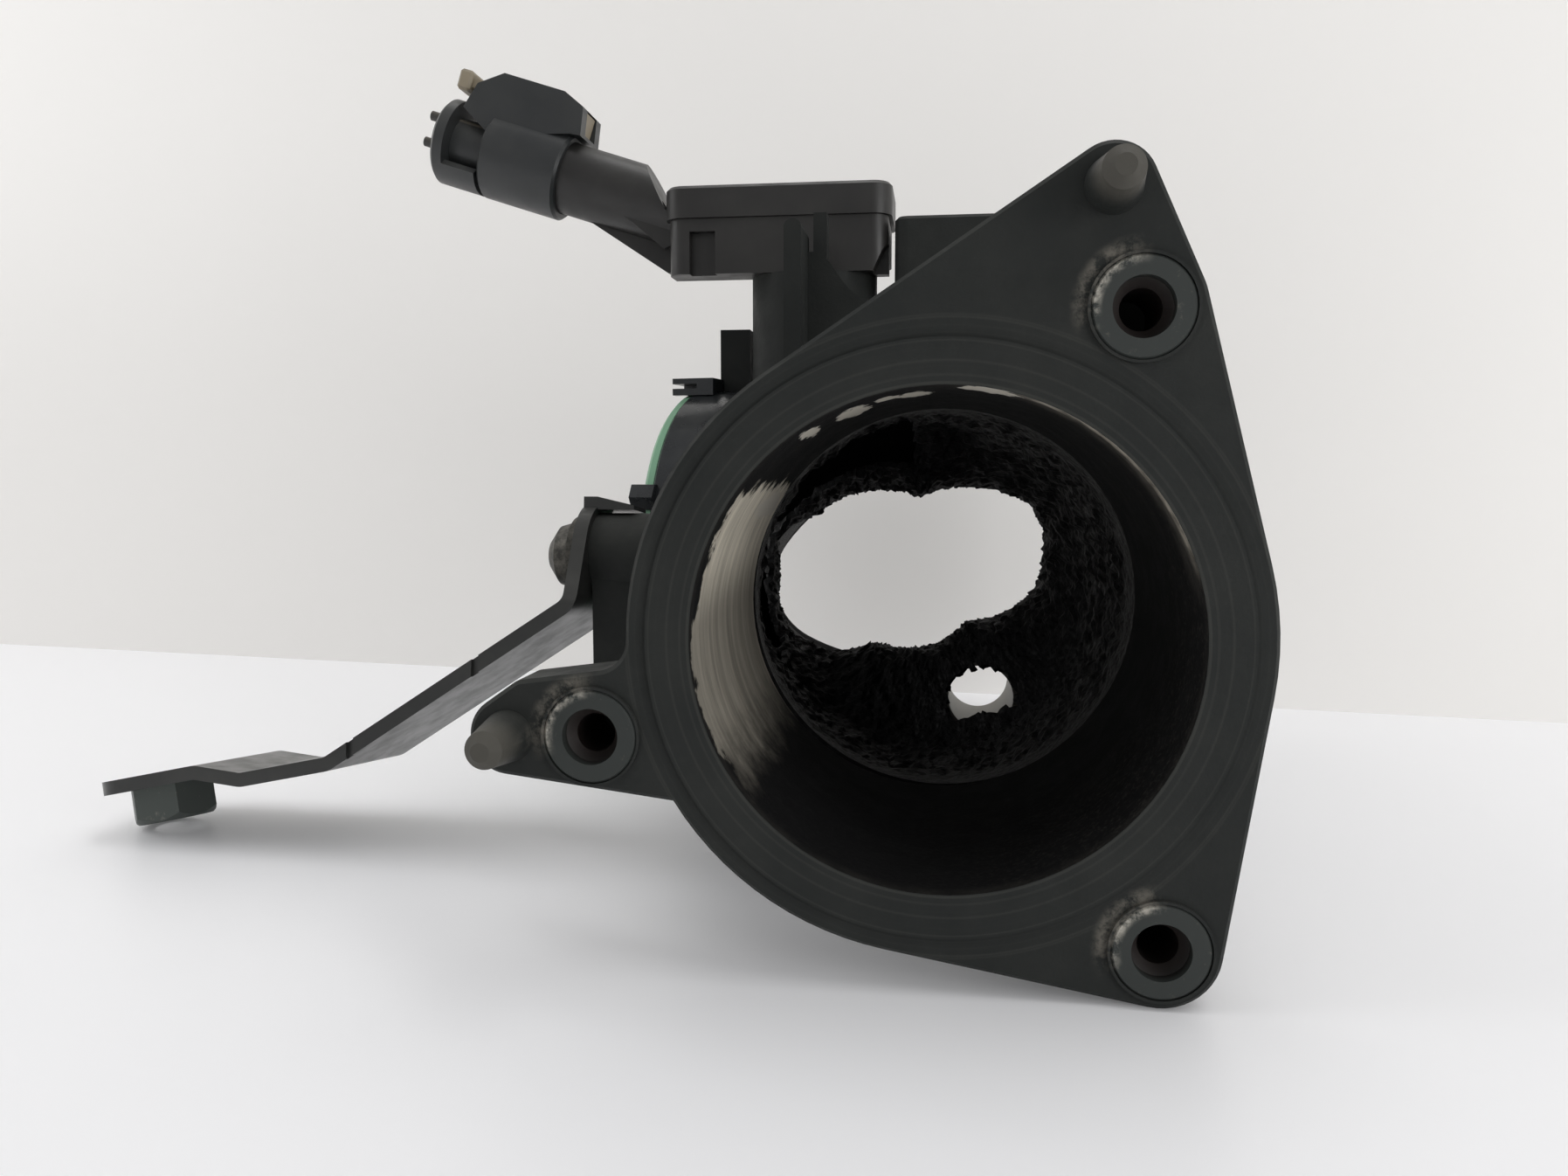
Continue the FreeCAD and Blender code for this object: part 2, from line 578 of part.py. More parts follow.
def pipe_body():
    room = chamber(0.0)
    branch = placed(Part.makeCylinder(PORT_TUBE_R, PORT_L - PORT_SEAL_T, Vector(0, 0, -PORT_L)), PORT_FRAME)
    solid_parts = [
        along_y(PIPE_R, FLANGE_T / 2, NECK_L + EPS - FLANGE_T / 2),
        chamber(WALL),
        outlet_oval(BACK_Y - BACK_ROUND, OUTLET_Y - BACK_Y + BACK_ROUND, WALL),
        outlet_flange(),
        along_y(EGR_R + EGR_WALL, BACK_Y - BACK_ROUND, REAR_Y - BACK_Y + BACK_ROUND, EGR_X, EGR_Z),
        branch,
        bracket_boss(), roof_fin(), roof_block(),
    ]
    solid_parts += roof_columns(0.0)
    body = throttle_flange().fuse(solid_parts + flange_ribs())
    cutters = [
        along_y(BORE_R, -EPS, NECK_L + 2 * EPS), room,
        outlet_oval(BACK_Y - BACK_ROUND, REAR_Y - BACK_Y + BACK_ROUND + EPS, 0.0),
        along_y(EGR_R, BACK_Y - 2 * BACK_ROUND, REAR_Y - BACK_Y + 2 * BACK_ROUND + EPS, EGR_X, EGR_Z),
        placed(Part.makeCylinder(PORT_BORE_R, PORT_L + EPS, Vector(0, 0, -PORT_L)), PORT_FRAME),
        placed(Part.makeCylinder(PORT_SEAL_R + FIT, PORT_L, Vector(0, 0, -PORT_SEAL_T)), PORT_FRAME),
        upright(TURRET_BORE_R, TURRET_X, TURRET_Y, TURRET_TOP - SPIGOT_L - EPS, TURRET_TOP + EPS),
        upright(TIP_R + 1.5, TURRET_X, TURRET_Y, 0, TURRET_TOP),
        upright(BRASS_INSERT_R + FIT, SENSOR_POST_X, SENSOR_POST_Y, TURRET_TOP - BRASS_INSERT_L - FIT,
                TURRET_TOP + EPS),
        placed(Part.makeCylinder(BRASS_INSERT_R + FIT, SCREW_L + EPS, Vector(-EPS, 0, 0),
                                 Vector(1, 0, 0)), BRACKET_FRAME),
        egr_bush_outline(FIT),
    ]
    cutters += [insert_outline(x, z, FIT) for x, z in INSERT_PLACES.values()]
    cutters += [along_y(SLEEVE_R + FIT, OUTLET_Y - EPS, OUTLET_FLANGE_T + 2 * EPS, x, z)
                for x, z in SLEEVE_PLACES]
    return body.cut(cutters).removeSplitter()


# Metal pieces of the two flanges

def insert_outline(x, z, gap):
    profile = [
        (0, -gap), (INSERT_HEAD_R + gap, -gap), (INSERT_HEAD_R + gap, INSERT_HEAD_T + gap),
        (INSERT_BODY_R + gap, INSERT_HEAD_T + gap), (INSERT_BODY_R + gap, INSERT_L + gap),
        (0, INSERT_L + gap),
    ]
    return turned(profile, Vector(x, 0, z))


def flange_insert(x, z):
    """A headed insert with a lead-in, threaded to its open end."""
    profile = [
        (INSERT_LEAD_R, 0), (INSERT_HEAD_R - INSERT_BEVEL, 0), (INSERT_HEAD_R, INSERT_BEVEL),
        (INSERT_HEAD_R, INSERT_HEAD_T), (INSERT_BODY_R, INSERT_HEAD_T), (INSERT_BODY_R, INSERT_L),
        (M6_CORE_R, INSERT_L), (M6_CORE_R, THREAD_START), (INSERT_LEAD_R, INSERT_LEAD_L),
    ]
    return turned(profile, Vector(x, 0, z))


def outlet_sleeve(x, z):
    sleeve = along_y(SLEEVE_R, OUTLET_Y, OUTLET_FLANGE_T, x, z)
    return sleeve.cut(along_y(M6_CLEARANCE_R, OUTLET_Y - EPS, OUTLET_FLANGE_T + 2 * EPS, x, z))


def egr_bush_outline(gap):
    return along_y(EGR_R + gap, BACK_Y + gap - FIT, REAR_Y - BACK_Y + EPS, EGR_X, EGR_Z)


def egr_bush():
    """The metal bush pressed into the small port."""
    length = REAR_Y - BACK_Y
    bush = along_y(EGR_R - FIT, BACK_Y, length, EGR_X, EGR_Z)
    return bush.cut(along_y(EGR_R - EGR_BUSH_T, BACK_Y - EPS, length + 2 * EPS, EGR_X, EGR_Z))


# Coupling port

def port_collar():
    """The glossy collar of the coupling, with a slotted lug on top and a hexagonal nub at its rim."""
    collar = ring(COLLAR_R, PORT_TUBE_R + FIT, -PORT_SEAL_T - COLLAR_L, COLLAR_L)
    rim = max(collar.Edges, key=lambda e: (e.CenterOfMass.z, e.Length))
    collar = collar.makeChamfer(COLLAR_EDGE, [rim])
    left, right = COLLAR_LUG_SIDE - COLLAR_LUG_W / 2, COLLAR_LUG_SIDE + COLLAR_LUG_W / 2
    lug = box(left, right, PORT_TUBE_R + 0.5, COLLAR_R + COLLAR_LUG_H, NUB_OUT - COLLAR_LUG_L, NUB_OUT)
    lug = lug.cut(ring_room(NUB_OUT))
    slot = box(left + EPS, right + EPS, COLLAR_R, COLLAR_R + COLLAR_SLOT, NUB_OUT - COLLAR_LUG_L * 0.6,
               NUB_OUT + EPS)
    nub_x, nub_y = polar(COLLAR_R - NUB_R * 0.3, NUB_ANGLE)
    corners = [Vector(nub_x, nub_y, -PORT_SEAL_T - EPS) + Vector(*polar(NUB_R, 60 * i), 0)
               for i in range(6)]
    nub = prism(corners, Vector(0, 0, PORT_SEAL_T + EPS + NUB_OUT)).cut(ring_room(NUB_OUT))
    whole = placed(collar.fuse([lug, nub]).cut(slot), PORT_FRAME)
    grow = WALL + COLLAR_CLEAR
    passed = [chamber(grow), outlet_oval(BACK_Y - BACK_ROUND, OUTLET_DUCT_L, grow)]
    return whole.cut(passed + roof_columns(COLLAR_CLEAR)).removeSplitter()


def ring_room(height):
    """Room for the seal and the pipe's mouth under the collar's lug and nub."""
    room = Part.makeCylinder(PORT_SEAL_R + FIT, PORT_SEAL_T + height + EPS, Vector(0, 0, -PORT_SEAL_T))
    return room.fuse(Part.makeCylinder(PORT_TUBE_R + FIT, PORT_L, Vector(0, 0, -PORT_L)))


def port_seal():
    """The green ring seal at the port's rim, with its lip inside the bore."""
    profile = [
        (PORT_BORE_R + SEAL_LIP, -PORT_SEAL_T), (PORT_SEAL_R, -PORT_SEAL_T), (PORT_SEAL_R, -SEAL_LIP),
        (PORT_SEAL_R - SEAL_LIP, 0), (PORT_BORE_R + 2 * SEAL_LIP, 0), (PORT_BORE_R + SEAL_LIP, -SEAL_LIP),
    ]
    points = [Vector(r, 0, z) for r, z in profile]
    face = Part.Face(Part.makePolygon(points + [points[0]]))
    return placed(face.revolve(Vector(0, 0, 0), UP, 360), PORT_FRAME)


# Pressure sensor

def across_axis(outline, start, width):
    """An outline along and above the socket's axis, given a width across it."""
    return prism([Vector(along, start, up) for along, up in outline], Vector(0, width, 0))


def socket_ribs():
    """The webs that carry the tilted socket on the side of the sensor."""
    side = SOCKET_R - RIB_T
    return [
        across_axis(CENTRE_WEB, -RIB_T / 2, RIB_T),
        across_axis(SIDE_WEB, side - RIB_T, RIB_T),
        across_axis(SIDE_WEB, -side, RIB_T),
    ]


def sensor_housing():
    """The housing with its spigot, fixing lug and tilted plug socket."""
    x0, y0, y1 = SENSOR_LEFT, SENSOR_FRONT, SENSOR_FRONT + SENSOR_D
    case = round_upright(box(x0, SENSOR_RIGHT, y0, y1, TURRET_TOP, SENSOR_TOP), SENSOR_CORNER_R)
    chip = prism(
        [Vector(SENSOR_RIGHT - CHIP, y0 - EPS, TURRET_TOP - EPS), Vector(SENSOR_RIGHT + EPS, y0 - EPS,
         TURRET_TOP - EPS), Vector(SENSOR_RIGHT + EPS, y0 - EPS, TURRET_TOP + 2.1 * CHIP),
         Vector(SENSOR_RIGHT - CHIP * 0.35, y0 - EPS, TURRET_TOP + CHIP * 1.2)],
        Vector(0, SENSOR_CORNER_R * 2, 0))
    recess_x = x0 + RECESS_IN
    recess = box(recess_x, recess_x + RECESS_W, y0 - EPS, y0 + RECESS_D, TURRET_TOP - EPS,
                 TURRET_TOP + RECESS_H)
    step = box(x0 - EPS, SENSOR_RIGHT + EPS, y0 + UNDERSIDE_FRONT, y1 + EPS, TURRET_TOP - EPS,
               TURRET_TOP + UNDERSIDE_STEP)
    step = step.cut([upright(TURRET_R, TURRET_X, TURRET_Y, TURRET_TOP - 2 * EPS, SENSOR_TOP),
                     box(SENSOR_POST_X - SENSOR_LUG_R, SENSOR_POST_X + SENSOR_LUG_R, TURRET_Y,
                         y1 + 2 * EPS, TURRET_TOP - 2 * EPS, SENSOR_TOP)])
    spigot = upright(TURRET_BORE_R - SPIGOT_GAP, TURRET_X, TURRET_Y, TURRET_TOP - SPIGOT_L, TURRET_TOP + EPS)
    lug = upright(SENSOR_LUG_R, SENSOR_POST_X, SENSOR_POST_Y, TURRET_TOP, TURRET_TOP + SENSOR_LUG_T)
    lug = lug.fuse(box(SENSOR_POST_X - SENSOR_LUG_R, SENSOR_POST_X + SENSOR_LUG_R, y1 - EPS,
                       SENSOR_POST_Y, TURRET_TOP, TURRET_TOP + SENSOR_LUG_T))
    tube = Part.makeCylinder(SOCKET_R, SOCKET_L + SOCKET_BACK, Vector(-SOCKET_BACK, 0, 0), Vector(1, 0, 0))
    slanted_end = across_axis(SOCKET_CUT, -2 * SOCKET_R, 4 * SOCKET_R)
    mouth = Part.makeCylinder(SOCKET_R - SOCKET_WALL, SOCKET_L, Vector(SOCKET_FLOOR, 0, 0), Vector(1, 0, 0))
    socket = tube.cut(slanted_end).fuse(socket_ribs())
    housing = case.cut(step).fuse([spigot, lug, placed(socket, PLUG_FRAME)])
    lid_room = box(x0 - 2 * SENSOR_W, SENSOR_RIGHT + EPS, y0 - EPS, y1 + EPS, SENSOR_TOP,
                   SENSOR_TOP + LID_H + FIT)
    lid_room = lid_room.common(box(x0 - LID_OVER - FIT, SENSOR_RIGHT + EPS, y0 - EPS, y1 + EPS,
                                   SENSOR_TOP, SENSOR_TOP + LID_H + FIT))
    bore = upright(TIP_R - TIP_WALL + FIT, TURRET_X, TURRET_Y, TURRET_TOP - SPIGOT_L - EPS,
                   TURRET_TOP - SPIGOT_CLOSED)
    screw_hole = upright(M5_R + SLIDE_GAP, SENSOR_POST_X, SENSOR_POST_Y, TURRET_TOP - EPS,
                         TURRET_TOP + SENSOR_LUG_T + EPS)
    slits = [terminal_slot(y) for y in TERMINAL_PLACES]
    cutters = [chip, recess, placed(mouth, PLUG_FRAME), lid_room, seal_cord(FIT), bore, screw_hole]
    return housing.cut(cutters + slits).removeSplitter()


def terminal_slot(y):
    half_w, half_t = TERMINAL_W / 2 + FIT, TERMINAL_T / 2 + FIT
    slot = box(TERMINAL_START - FIT, SOCKET_FLOOR + EPS, y - half_w, y + half_w, -half_t, half_t)
    return placed(slot, PLUG_FRAME)


def sensor_terminals():
    """Four flat blades that stand in the socket."""
    half_w, half_t = TERMINAL_W / 2, TERMINAL_T / 2
    blades = [placed(box(TERMINAL_START, TERMINAL_END, y - half_w, y + half_w, -half_t, half_t), PLUG_FRAME)
              for y in TERMINAL_PLACES]
    return Part.makeCompound(blades)


def sensor_cover():
    """The lid, a little wider than the housing, with rounded edges."""
    lid = round_upright(
        box(SENSOR_LEFT - LID_OVER, SENSOR_RIGHT + LID_OVER, SENSOR_FRONT - LID_OVER,
            SENSOR_FRONT + SENSOR_D + LID_OVER, SENSOR_TOP + FIT, SENSOR_TOP + LID_H),
        SENSOR_CORNER_R + LID_OVER)
    top = max(lid.Faces, key=lambda f: f.CenterOfMass.z)
    lid = lid.makeChamfer(BLOCK_EDGE, top.Edges)
    clear = Part.makeCylinder(SOCKET_R + FIT, 40, Vector(0, 0, 0), Vector(1, 0, 0))
    return lid.cut(placed(clear, PLUG_FRAME))


def seal_cord(grow):
    """The cord of the O-ring in the turret's bore, or its groove when grown."""
    middle, half = TURRET_BORE_R - O_RING_R - FIT, O_RING_R - FIT + grow
    ends = [Vector(middle, 0, 0) + Vector(half * math.cos(a), 0, half * math.sin(a))
            for a in (math.radians(45 * i + 22.5) for i in range(8))]
    cord = Part.Face(Part.makePolygon(ends + [ends[0]])).revolve(Vector(0, 0, 0), UP, 360)
    cord.translate(Vector(TURRET_X, TURRET_Y, TURRET_TOP - SPIGOT_L / 2))
    return cord


def sensor_tip():
    """The perforated metal tip that reaches into the chamber."""
    top, bottom = TURRET_TOP - SPIGOT_CLOSED - FIT, TURRET_TOP - SPIGOT_L - TIP_L
    radius = TIP_R - TIP_WALL
    tip = upright(radius, TURRET_X, TURRET_Y, bottom, top)
    tip = tip.cut(upright(radius - TIP_FLOOR, TURRET_X, TURRET_Y, bottom + TIP_FLOOR, top - TIP_ROOF))
    window = box(TURRET_X - radius * 2, TURRET_X + radius * 2, TURRET_Y - TIP_SLOT_W / 2,
                 TURRET_Y + TIP_SLOT_W / 2, bottom + TIP_SLOT_UP, bottom + TIP_SLOT_UP + TIP_SLOT_L)
    for angle in (0, 90):
        cutter = window.copy()
        cutter.rotate(Vector(TURRET_X, TURRET_Y, 0), UP, angle)
        tip = tip.cut(cutter)
    return tip


def brass_insert(core_r):
    """A knurled brass insert, made upright with its open end at the top."""
    insert = Part.makeCylinder(BRASS_INSERT_R, BRASS_INSERT_L, Vector(0, 0, -BRASS_INSERT_L))
    core = Part.makeCylinder(core_r, BRASS_INSERT_L + 2 * EPS, Vector(0, 0, -BRASS_INSERT_L - EPS))
    insert = insert.cut(core)
    groove = ring(BRASS_INSERT_R + EPS, BRASS_INSERT_R - BRASS_GROOVE_D,
                  -(BRASS_INSERT_L + BRASS_GROOVE_W) / 2, BRASS_GROOVE_W)
    return insert.cut(groove)


def sensor_screw():
    """Pan head screw with a six-lobe recess."""
    seat = TURRET_TOP + SENSOR_LUG_T
    shank_r = M5_CORE_R - FIT
    end = EPS - BRASS_INSERT_L - SENSOR_LUG_T
    profile = [(0, end), (shank_r, end), (shank_r, 0), (PAN_R, 0), (PAN_R, PAN_SIDE_H), (PAN_TOP_R, PAN_H),
               (0, PAN_H)]
    points = [Vector(SENSOR_POST_X + r, SENSOR_POST_Y, seat + z) for r, z in profile]
    face = Part.Face(Part.makePolygon(points + [points[0]]))
    screw = face.revolve(Vector(SENSOR_POST_X, SENSOR_POST_Y, 0), UP, 360)
    recess = Part.makeCylinder(PAN_RECESS_R, PAN_H, Vector(SENSOR_POST_X, SENSOR_POST_Y, seat + PAN_SIDE_H))
    return screw.cut(recess)


# Plug

def plug_housing():
    """The plug's body: core in the socket, collar round it, rear tube and latch block on top."""
    core_r = SOCKET_R - SOCKET_WALL - PLUG_COLLAR_GAP
    x_axis = Vector(1, 0, 0)
    core = Part.makeCylinder(core_r, COLLAR_END - PLUG_CORE_START, x_axis * PLUG_CORE_START, x_axis)
    collar = Part.makeCylinder(PLUG_COLLAR_R, COLLAR_END - COLLAR_START, x_axis * COLLAR_START, x_axis)
    rims = [e for e in collar.Edges if e.Curve.TypeId == "Part::GeomCircle"]
    collar = collar.makeChamfer(PLUG_EDGE, rims)
    sleeve = ring(SOCKET_R + PLUG_COLLAR_GAP, core_r, COLLAR_START - EPS,
                  SOCKET_L - COLLAR_START + EPS + SLIDE_GAP, x_axis)
    rear_start = COLLAR_END - EPS
    rear = Part.makeCylinder(PLUG_BODY_R, PLUG_BODY_END - rear_start, x_axis * rear_start, x_axis)
    latch = across_axis(LATCH_SHAPE, -LATCH_W / 2, LATCH_W)
    seal_groove = ring(core_r + EPS, core_r - PLUG_SEAL_D, PLUG_SEAL_START, PLUG_SEAL_L, x_axis)
    body = core.fuse([rear, latch, collar]).cut(sleeve)
    half_w, half_t = TERMINAL_W / 2 + BLADE_GAP, TERMINAL_T / 2 + BLADE_GAP
    blades = [box(PLUG_CORE_START - EPS, TERMINAL_END + EPS, y - half_w, y + half_w, -half_t, half_t)
              for y in TERMINAL_PLACES]
    wires = [Part.makeCylinder(WIRE_R + FIT, PLUG_BODY_END, Vector(WIRE_START - FIT, y, z), x_axis)
             for y, z in WIRE_PLACES]
    return placed(body.cut([seal_groove, lock_room()] + blades + wires).removeSplitter(), PLUG_FRAME)


def lock_room():
    """The slot for the lock's strip, with a window at its front for the nose."""
    half_w = LOCK_W / 2 + SLIDE_GAP
    slot = box(0, FAR, -half_w, half_w, LOCK_N - SLIDE_GAP, LOCK_N + LOCK_T + SLIDE_GAP)
    window = box(0, LOCK_NOSE + 2 * LOCK_TRAVEL, -half_w, half_w, LOCK_N - LOCK_NOSE_H - SLIDE_GAP,
                 LOCK_N + LOCK_T + SLIDE_GAP)
    half_head = LOCK_HEAD_W / 2 + SLIDE_GAP
    head_room = box(LOCK_REAR - LOCK_HEAD_L - LOCK_TRAVEL - SLIDE_GAP, FAR, -half_head, half_head,
                    LOCK_N - LOCK_HEAD_H / 2, LATCH_TOP + EPS)
    return slot.fuse([window, head_room])


def plug_lock():
    """The sliding lock, drawn part of the way out: strip, head behind and nose in the window."""
    strip = box(LOCK_NOSE, LOCK_REAR - EPS / 2, -LOCK_W / 2, LOCK_W / 2, LOCK_N, LOCK_N + LOCK_T)
    nose = box(LOCK_NOSE, LOCK_NOSE + LOCK_NOSE_L, -LOCK_W / 2, LOCK_W / 2, LOCK_N - LOCK_NOSE_H,
               LOCK_N + LOCK_T)
    head_bottom = LOCK_N - LOCK_HEAD_DOWN
    head = box(LOCK_REAR - LOCK_HEAD_L, LOCK_REAR, -LOCK_HEAD_W / 2, LOCK_HEAD_W / 2, head_bottom,
               head_bottom + LOCK_HEAD_H)
    head = head.makeChamfer(PLUG_EDGE, head.Edges)
    return placed(strip.fuse([nose, head]), PLUG_FRAME)


def plug_rear_cap():
    """The C-shaped cap behind the plug: a disc with a lip below that runs forward."""
    x_axis = Vector(1, 0, 0)
    start = PLUG_BODY_END + FIT
    disc = Part.makeCylinder(CAP_R, CAP_T, x_axis * start, x_axis)
    outer_rim = max((e for e in disc.Edges if e.Curve.TypeId == "Part::GeomCircle"),
                    key=lambda e: e.CenterOfMass.x)
    disc = disc.makeChamfer(BLOCK_EDGE, [outer_rim])
    lip = ring(CAP_R, CAP_R - CAP_LIP_T, start - CAP_LIP_L, CAP_LIP_L + EPS, x_axis)
    wedge = prism(
        [Vector(0, 0, 0), Vector(0, -2 * CAP_R, -2 * CAP_R / math.tan(math.radians(CAP_LIP_ANGLE / 2))),
         Vector(0, 2 * CAP_R, -2 * CAP_R / math.tan(math.radians(CAP_LIP_ANGLE / 2)))],
        Vector(FAR, 0, 0))
    lock_gap = box(0, FAR, -LOCK_HEAD_W / 2 - SLIDE_GAP, LOCK_HEAD_W / 2 + SLIDE_GAP,
                   LOCK_N - LOCK_HEAD_DOWN - SLIDE_GAP, FAR)
    holes = [Part.makeCylinder(WIRE_R + FIT, FAR, Vector(0, y, z), x_axis) for y, z in WIRE_PLACES]
    return placed(disc.fuse(lip.common(wedge)).cut(holes + [lock_gap]), PLUG_FRAME)


def wire_stub(y, z):
    """A lead from its terminal to where it was cut off, just past the cap."""
    length = PLUG_BODY_END + CAP_T + WIRE_OUT - WIRE_START
    return placed(Part.makeCylinder(WIRE_R, length, Vector(WIRE_START, y, z), Vector(1, 0, 0)), PLUG_FRAME)


def plug_seal():
    """The ribbed ring seal on the plug's core."""
    core_r = SOCKET_R - SOCKET_WALL - PLUG_COLLAR_GAP
    seal = ring(core_r + FIT, core_r - PLUG_SEAL_D + FIT, PLUG_SEAL_START + FIT, PLUG_SEAL_L - 2 * FIT,
                Vector(1, 0, 0))
    return placed(seal, PLUG_FRAME)


# Bracket

def foot_points():
    """Centre line of the strip's foot, from its first bend on, along and across the foot's own plane."""
    along = [0, FLAT_1, FLAT_1 + JOGGLE_RUN, FLAT_1 + JOGGLE_RUN + FLAT_2]
    up = [0, 0, JOGGLE_RISE, JOGGLE_RISE]
    tilt = math.radians(FOOT_TILT)
    return [(-a * math.cos(tilt) - u * math.sin(tilt), -a * math.sin(tilt) + u * math.cos(tilt))
            for a, u in zip(along, up)]


def nut_place():
    """Where the nut's underside is centred, from the strip's first bend, and its axis."""
    end_x, end_z = foot_points()[-1]
    tilt = math.radians(FOOT_TILT)
    down = NUT_H + SHEET_T / 2
    x = end_x + NUT_EDGE * math.cos(tilt) + down * math.sin(tilt)
    z = end_z + NUT_EDGE * math.sin(tilt) - down * math.cos(tilt)
    return x, z, Vector(-math.sin(tilt), 0, math.cos(tilt))


def bend_places():
    """Centre line of the whole strip in the bracket's frame. The slope ends where the nut stands
    on the same surface as the flanges."""
    nut_x, nut_z, nut_axis = nut_place()
    upright_part = BRACKET_FRAME.Rotation.multVec(nut_axis).z
    rim_drop = NUT_FACE_R * math.sqrt(1 - upright_part ** 2)
    centre_z = FLOOR_Z + rim_drop
    drop = (centre_z - BOSS_Z) / math.cos(math.radians(BRACKET_ROLL)) - nut_z
    top_x = -SHEET_T / 2
    corner_z = -TAB_DROP
    run = (corner_z - drop) / math.tan(math.radians(SLOPE))
    foot = [(top_x - run + x, drop + z) for x, z in foot_points()]
    return [(top_x, TAB_R + EPS), (top_x, corner_z)] + foot


def offset_line(points, distance):
    """The same bent line moved sideways, with sharp corners."""
    directions = []
    for (x0, z0), (x1, z1) in zip(points, points[1:]):
        length = math.hypot(x1 - x0, z1 - z0)
        directions.append(((x1 - x0) / length, (z1 - z0) / length))
    moved = []
    for i, (x, z) in enumerate(points):
        before = directions[max(i - 1, 0)]
        after = directions[min(i, len(directions) - 1)]
        nx, nz = -before[1] - after[1], before[0] + after[0]
        scale = 2 * distance / (nx * nx + nz * nz)
        moved.append(Vector(x + nx * scale, 0, z + nz * scale))
    return moved


def bracket():
    """Pressed strip: round tab on the boss, long slope, joggled foot for the nut."""
    line = bend_places()
    left, right = offset_line(line, -SHEET_T / 2), offset_line(line, SHEET_T / 2)
    outline = left + right[::-1]
    for point in outline:
        point.y = -STRIP_W / 2
    strip = prism(outline, Vector(0, STRIP_W, 0))
    corners = {}
    for i in range(1, len(line) - 1):
        turn = ((line[i][0] - line[i - 1][0]) * (line[i + 1][1] - line[i][1])
                - (line[i][1] - line[i - 1][1]) * (line[i + 1][0] - line[i][0]))
        inner, outer = (right, left) if turn > 0 else (left, right)
        corners[i] = (inner[i], outer[i])
    for inner, outer in corners.values():
        for corner, radius in ((inner, BEND_R), (outer, BEND_R + SHEET_T)):
            edge = min(strip.Edges, key=lambda e: math.hypot(e.CenterOfMass.x - corner.x,
                                                             e.CenterOfMass.z - corner.z))
            strip = strip.makeFillet(radius, [edge])
    head = hull_side([(0, 0, TAB_R), (-STRIP_W / 2 + 2, -TAB_DROP, 2), (STRIP_W / 2 - 2, -TAB_DROP, 2)])
    above = box(-3 * SHEET_T, 3 * SHEET_T, -STRIP_W, STRIP_W, -TAB_DROP, 3 * TAB_R)
    tab_cut = above.cut(head.common(above))
    end_x, end_z = line[-1]
    end_cut = foot_end_cut(end_x, end_z)
    nut_x, nut_z, nut_axis = nut_in_bracket()
    nut_hole = Part.makeCylinder(M8_HOLE_R, FAR, Vector(nut_x, 0, nut_z), nut_axis)
    screw_hole = Part.makeCylinder(M6_R + SLIDE_GAP, FAR, Vector(-FAR / 2, 0, 0), Vector(1, 0, 0))
    notches = []
    for share in NOTCHES:
        x = line[1][0] + (line[2][0] - line[1][0]) * share
        notches.append(box(x - NOTCH_W / 2, x + NOTCH_W / 2, -STRIP_W, NOTCH_D - STRIP_W / 2, -FAR, 0))
    plate = strip.cut([tab_cut, end_cut, nut_hole, screw_hole] + notches)
    return placed(plate.fuse(tab_lug()).removeSplitter(), BRACKET_FRAME)


def hull_side(circles):
    """A hull of circles (y, z, radius) pushed along X."""
    plate = hull_plate([(y, z, r) for y, z, r in circles], -5 * SHEET_T, 10 * SHEET_T)
    plate.rotate(Vector(0, 0, 0), UP, -90)
    return plate


def foot_end_cut(end_x, end_z):
    """Rounds the two corners at the strip's free end."""
    radius, deep = FOOT_CORNER_R, 2 * SHEET_T
    corner = box(-radius - EPS, 0, STRIP_W / 2 - radius, STRIP_W / 2 + EPS, -deep, deep)
    corner = corner.cut(Part.makeCylinder(radius, 2 * deep, Vector(0, STRIP_W / 2 - radius, -deep)))
    both = corner.fuse(corner.mirror(Vector(0, 0, 0), Vector(0, 1, 0)))
    both.rotate(Vector(0, 0, 0), Vector(0, 1, 0), -FOOT_TILT)
    along, up = polar(radius, FOOT_TILT)
    both.translate(Vector(end_x + along, 0, end_z + up))
    return both


def tab_lug():
    """The lug folded over the top of the boss, which stops the bracket turning."""
    top = BOSS_R + SLIDE_GAP
    half_w = TAB_LUG_W / 2
    return prism(
        [Vector(-SHEET_T, -half_w, TAB_R * 0.8), Vector(-SHEET_T, -half_w, top + TAB_LUG_UP),
         Vector(0, -half_w, top + TAB_LUG_UP), Vector(TAB_LUG_L, -half_w, top + TAB_LUG_UP / 3),
         Vector(TAB_LUG_L, -half_w, top), Vector(0, -half_w, top), Vector(0, -half_w, TAB_R * 0.8)],
        Vector(0, TAB_LUG_W, 0))


def nut_in_bracket():
    nut_x, nut_z, nut_axis = nut_place()
    first = bend_places()[2]
    return first[0] + nut_x, first[1] + nut_z, nut_axis


def weld_nut():
    """Hexagon nut welded under the foot."""
    nut_x, nut_z, nut_axis = nut_in_bracket()
    across_corners = NUT_AF / math.sqrt(3)
    corners = [Vector(*polar(across_corners, 60 * i + NUT_TURN), 0) for i in range(6)]
    nut = prism(corners, Vector(0, 0, NUT_H - FIT))
    bevel = Part.makeCone(NUT_FACE_R, NUT_FACE_R + NUT_BEVEL_H, NUT_BEVEL_H)
    wide = Part.makeCylinder(NUT_FACE_R + NUT_BEVEL_H, NUT_H, Vector(0, 0, NUT_BEVEL_H))
    nut = nut.common(bevel.fuse(wide))
    nut = nut.cut(Part.makeCylinder(M8_CORE_R, NUT_H + 2 * EPS, Vector(0, 0, -EPS)))
    frame = FreeCAD.Placement(Vector(nut_x, 0, nut_z), Rotation(UP, nut_axis))
    return placed(placed(nut, frame), BRACKET_FRAME)


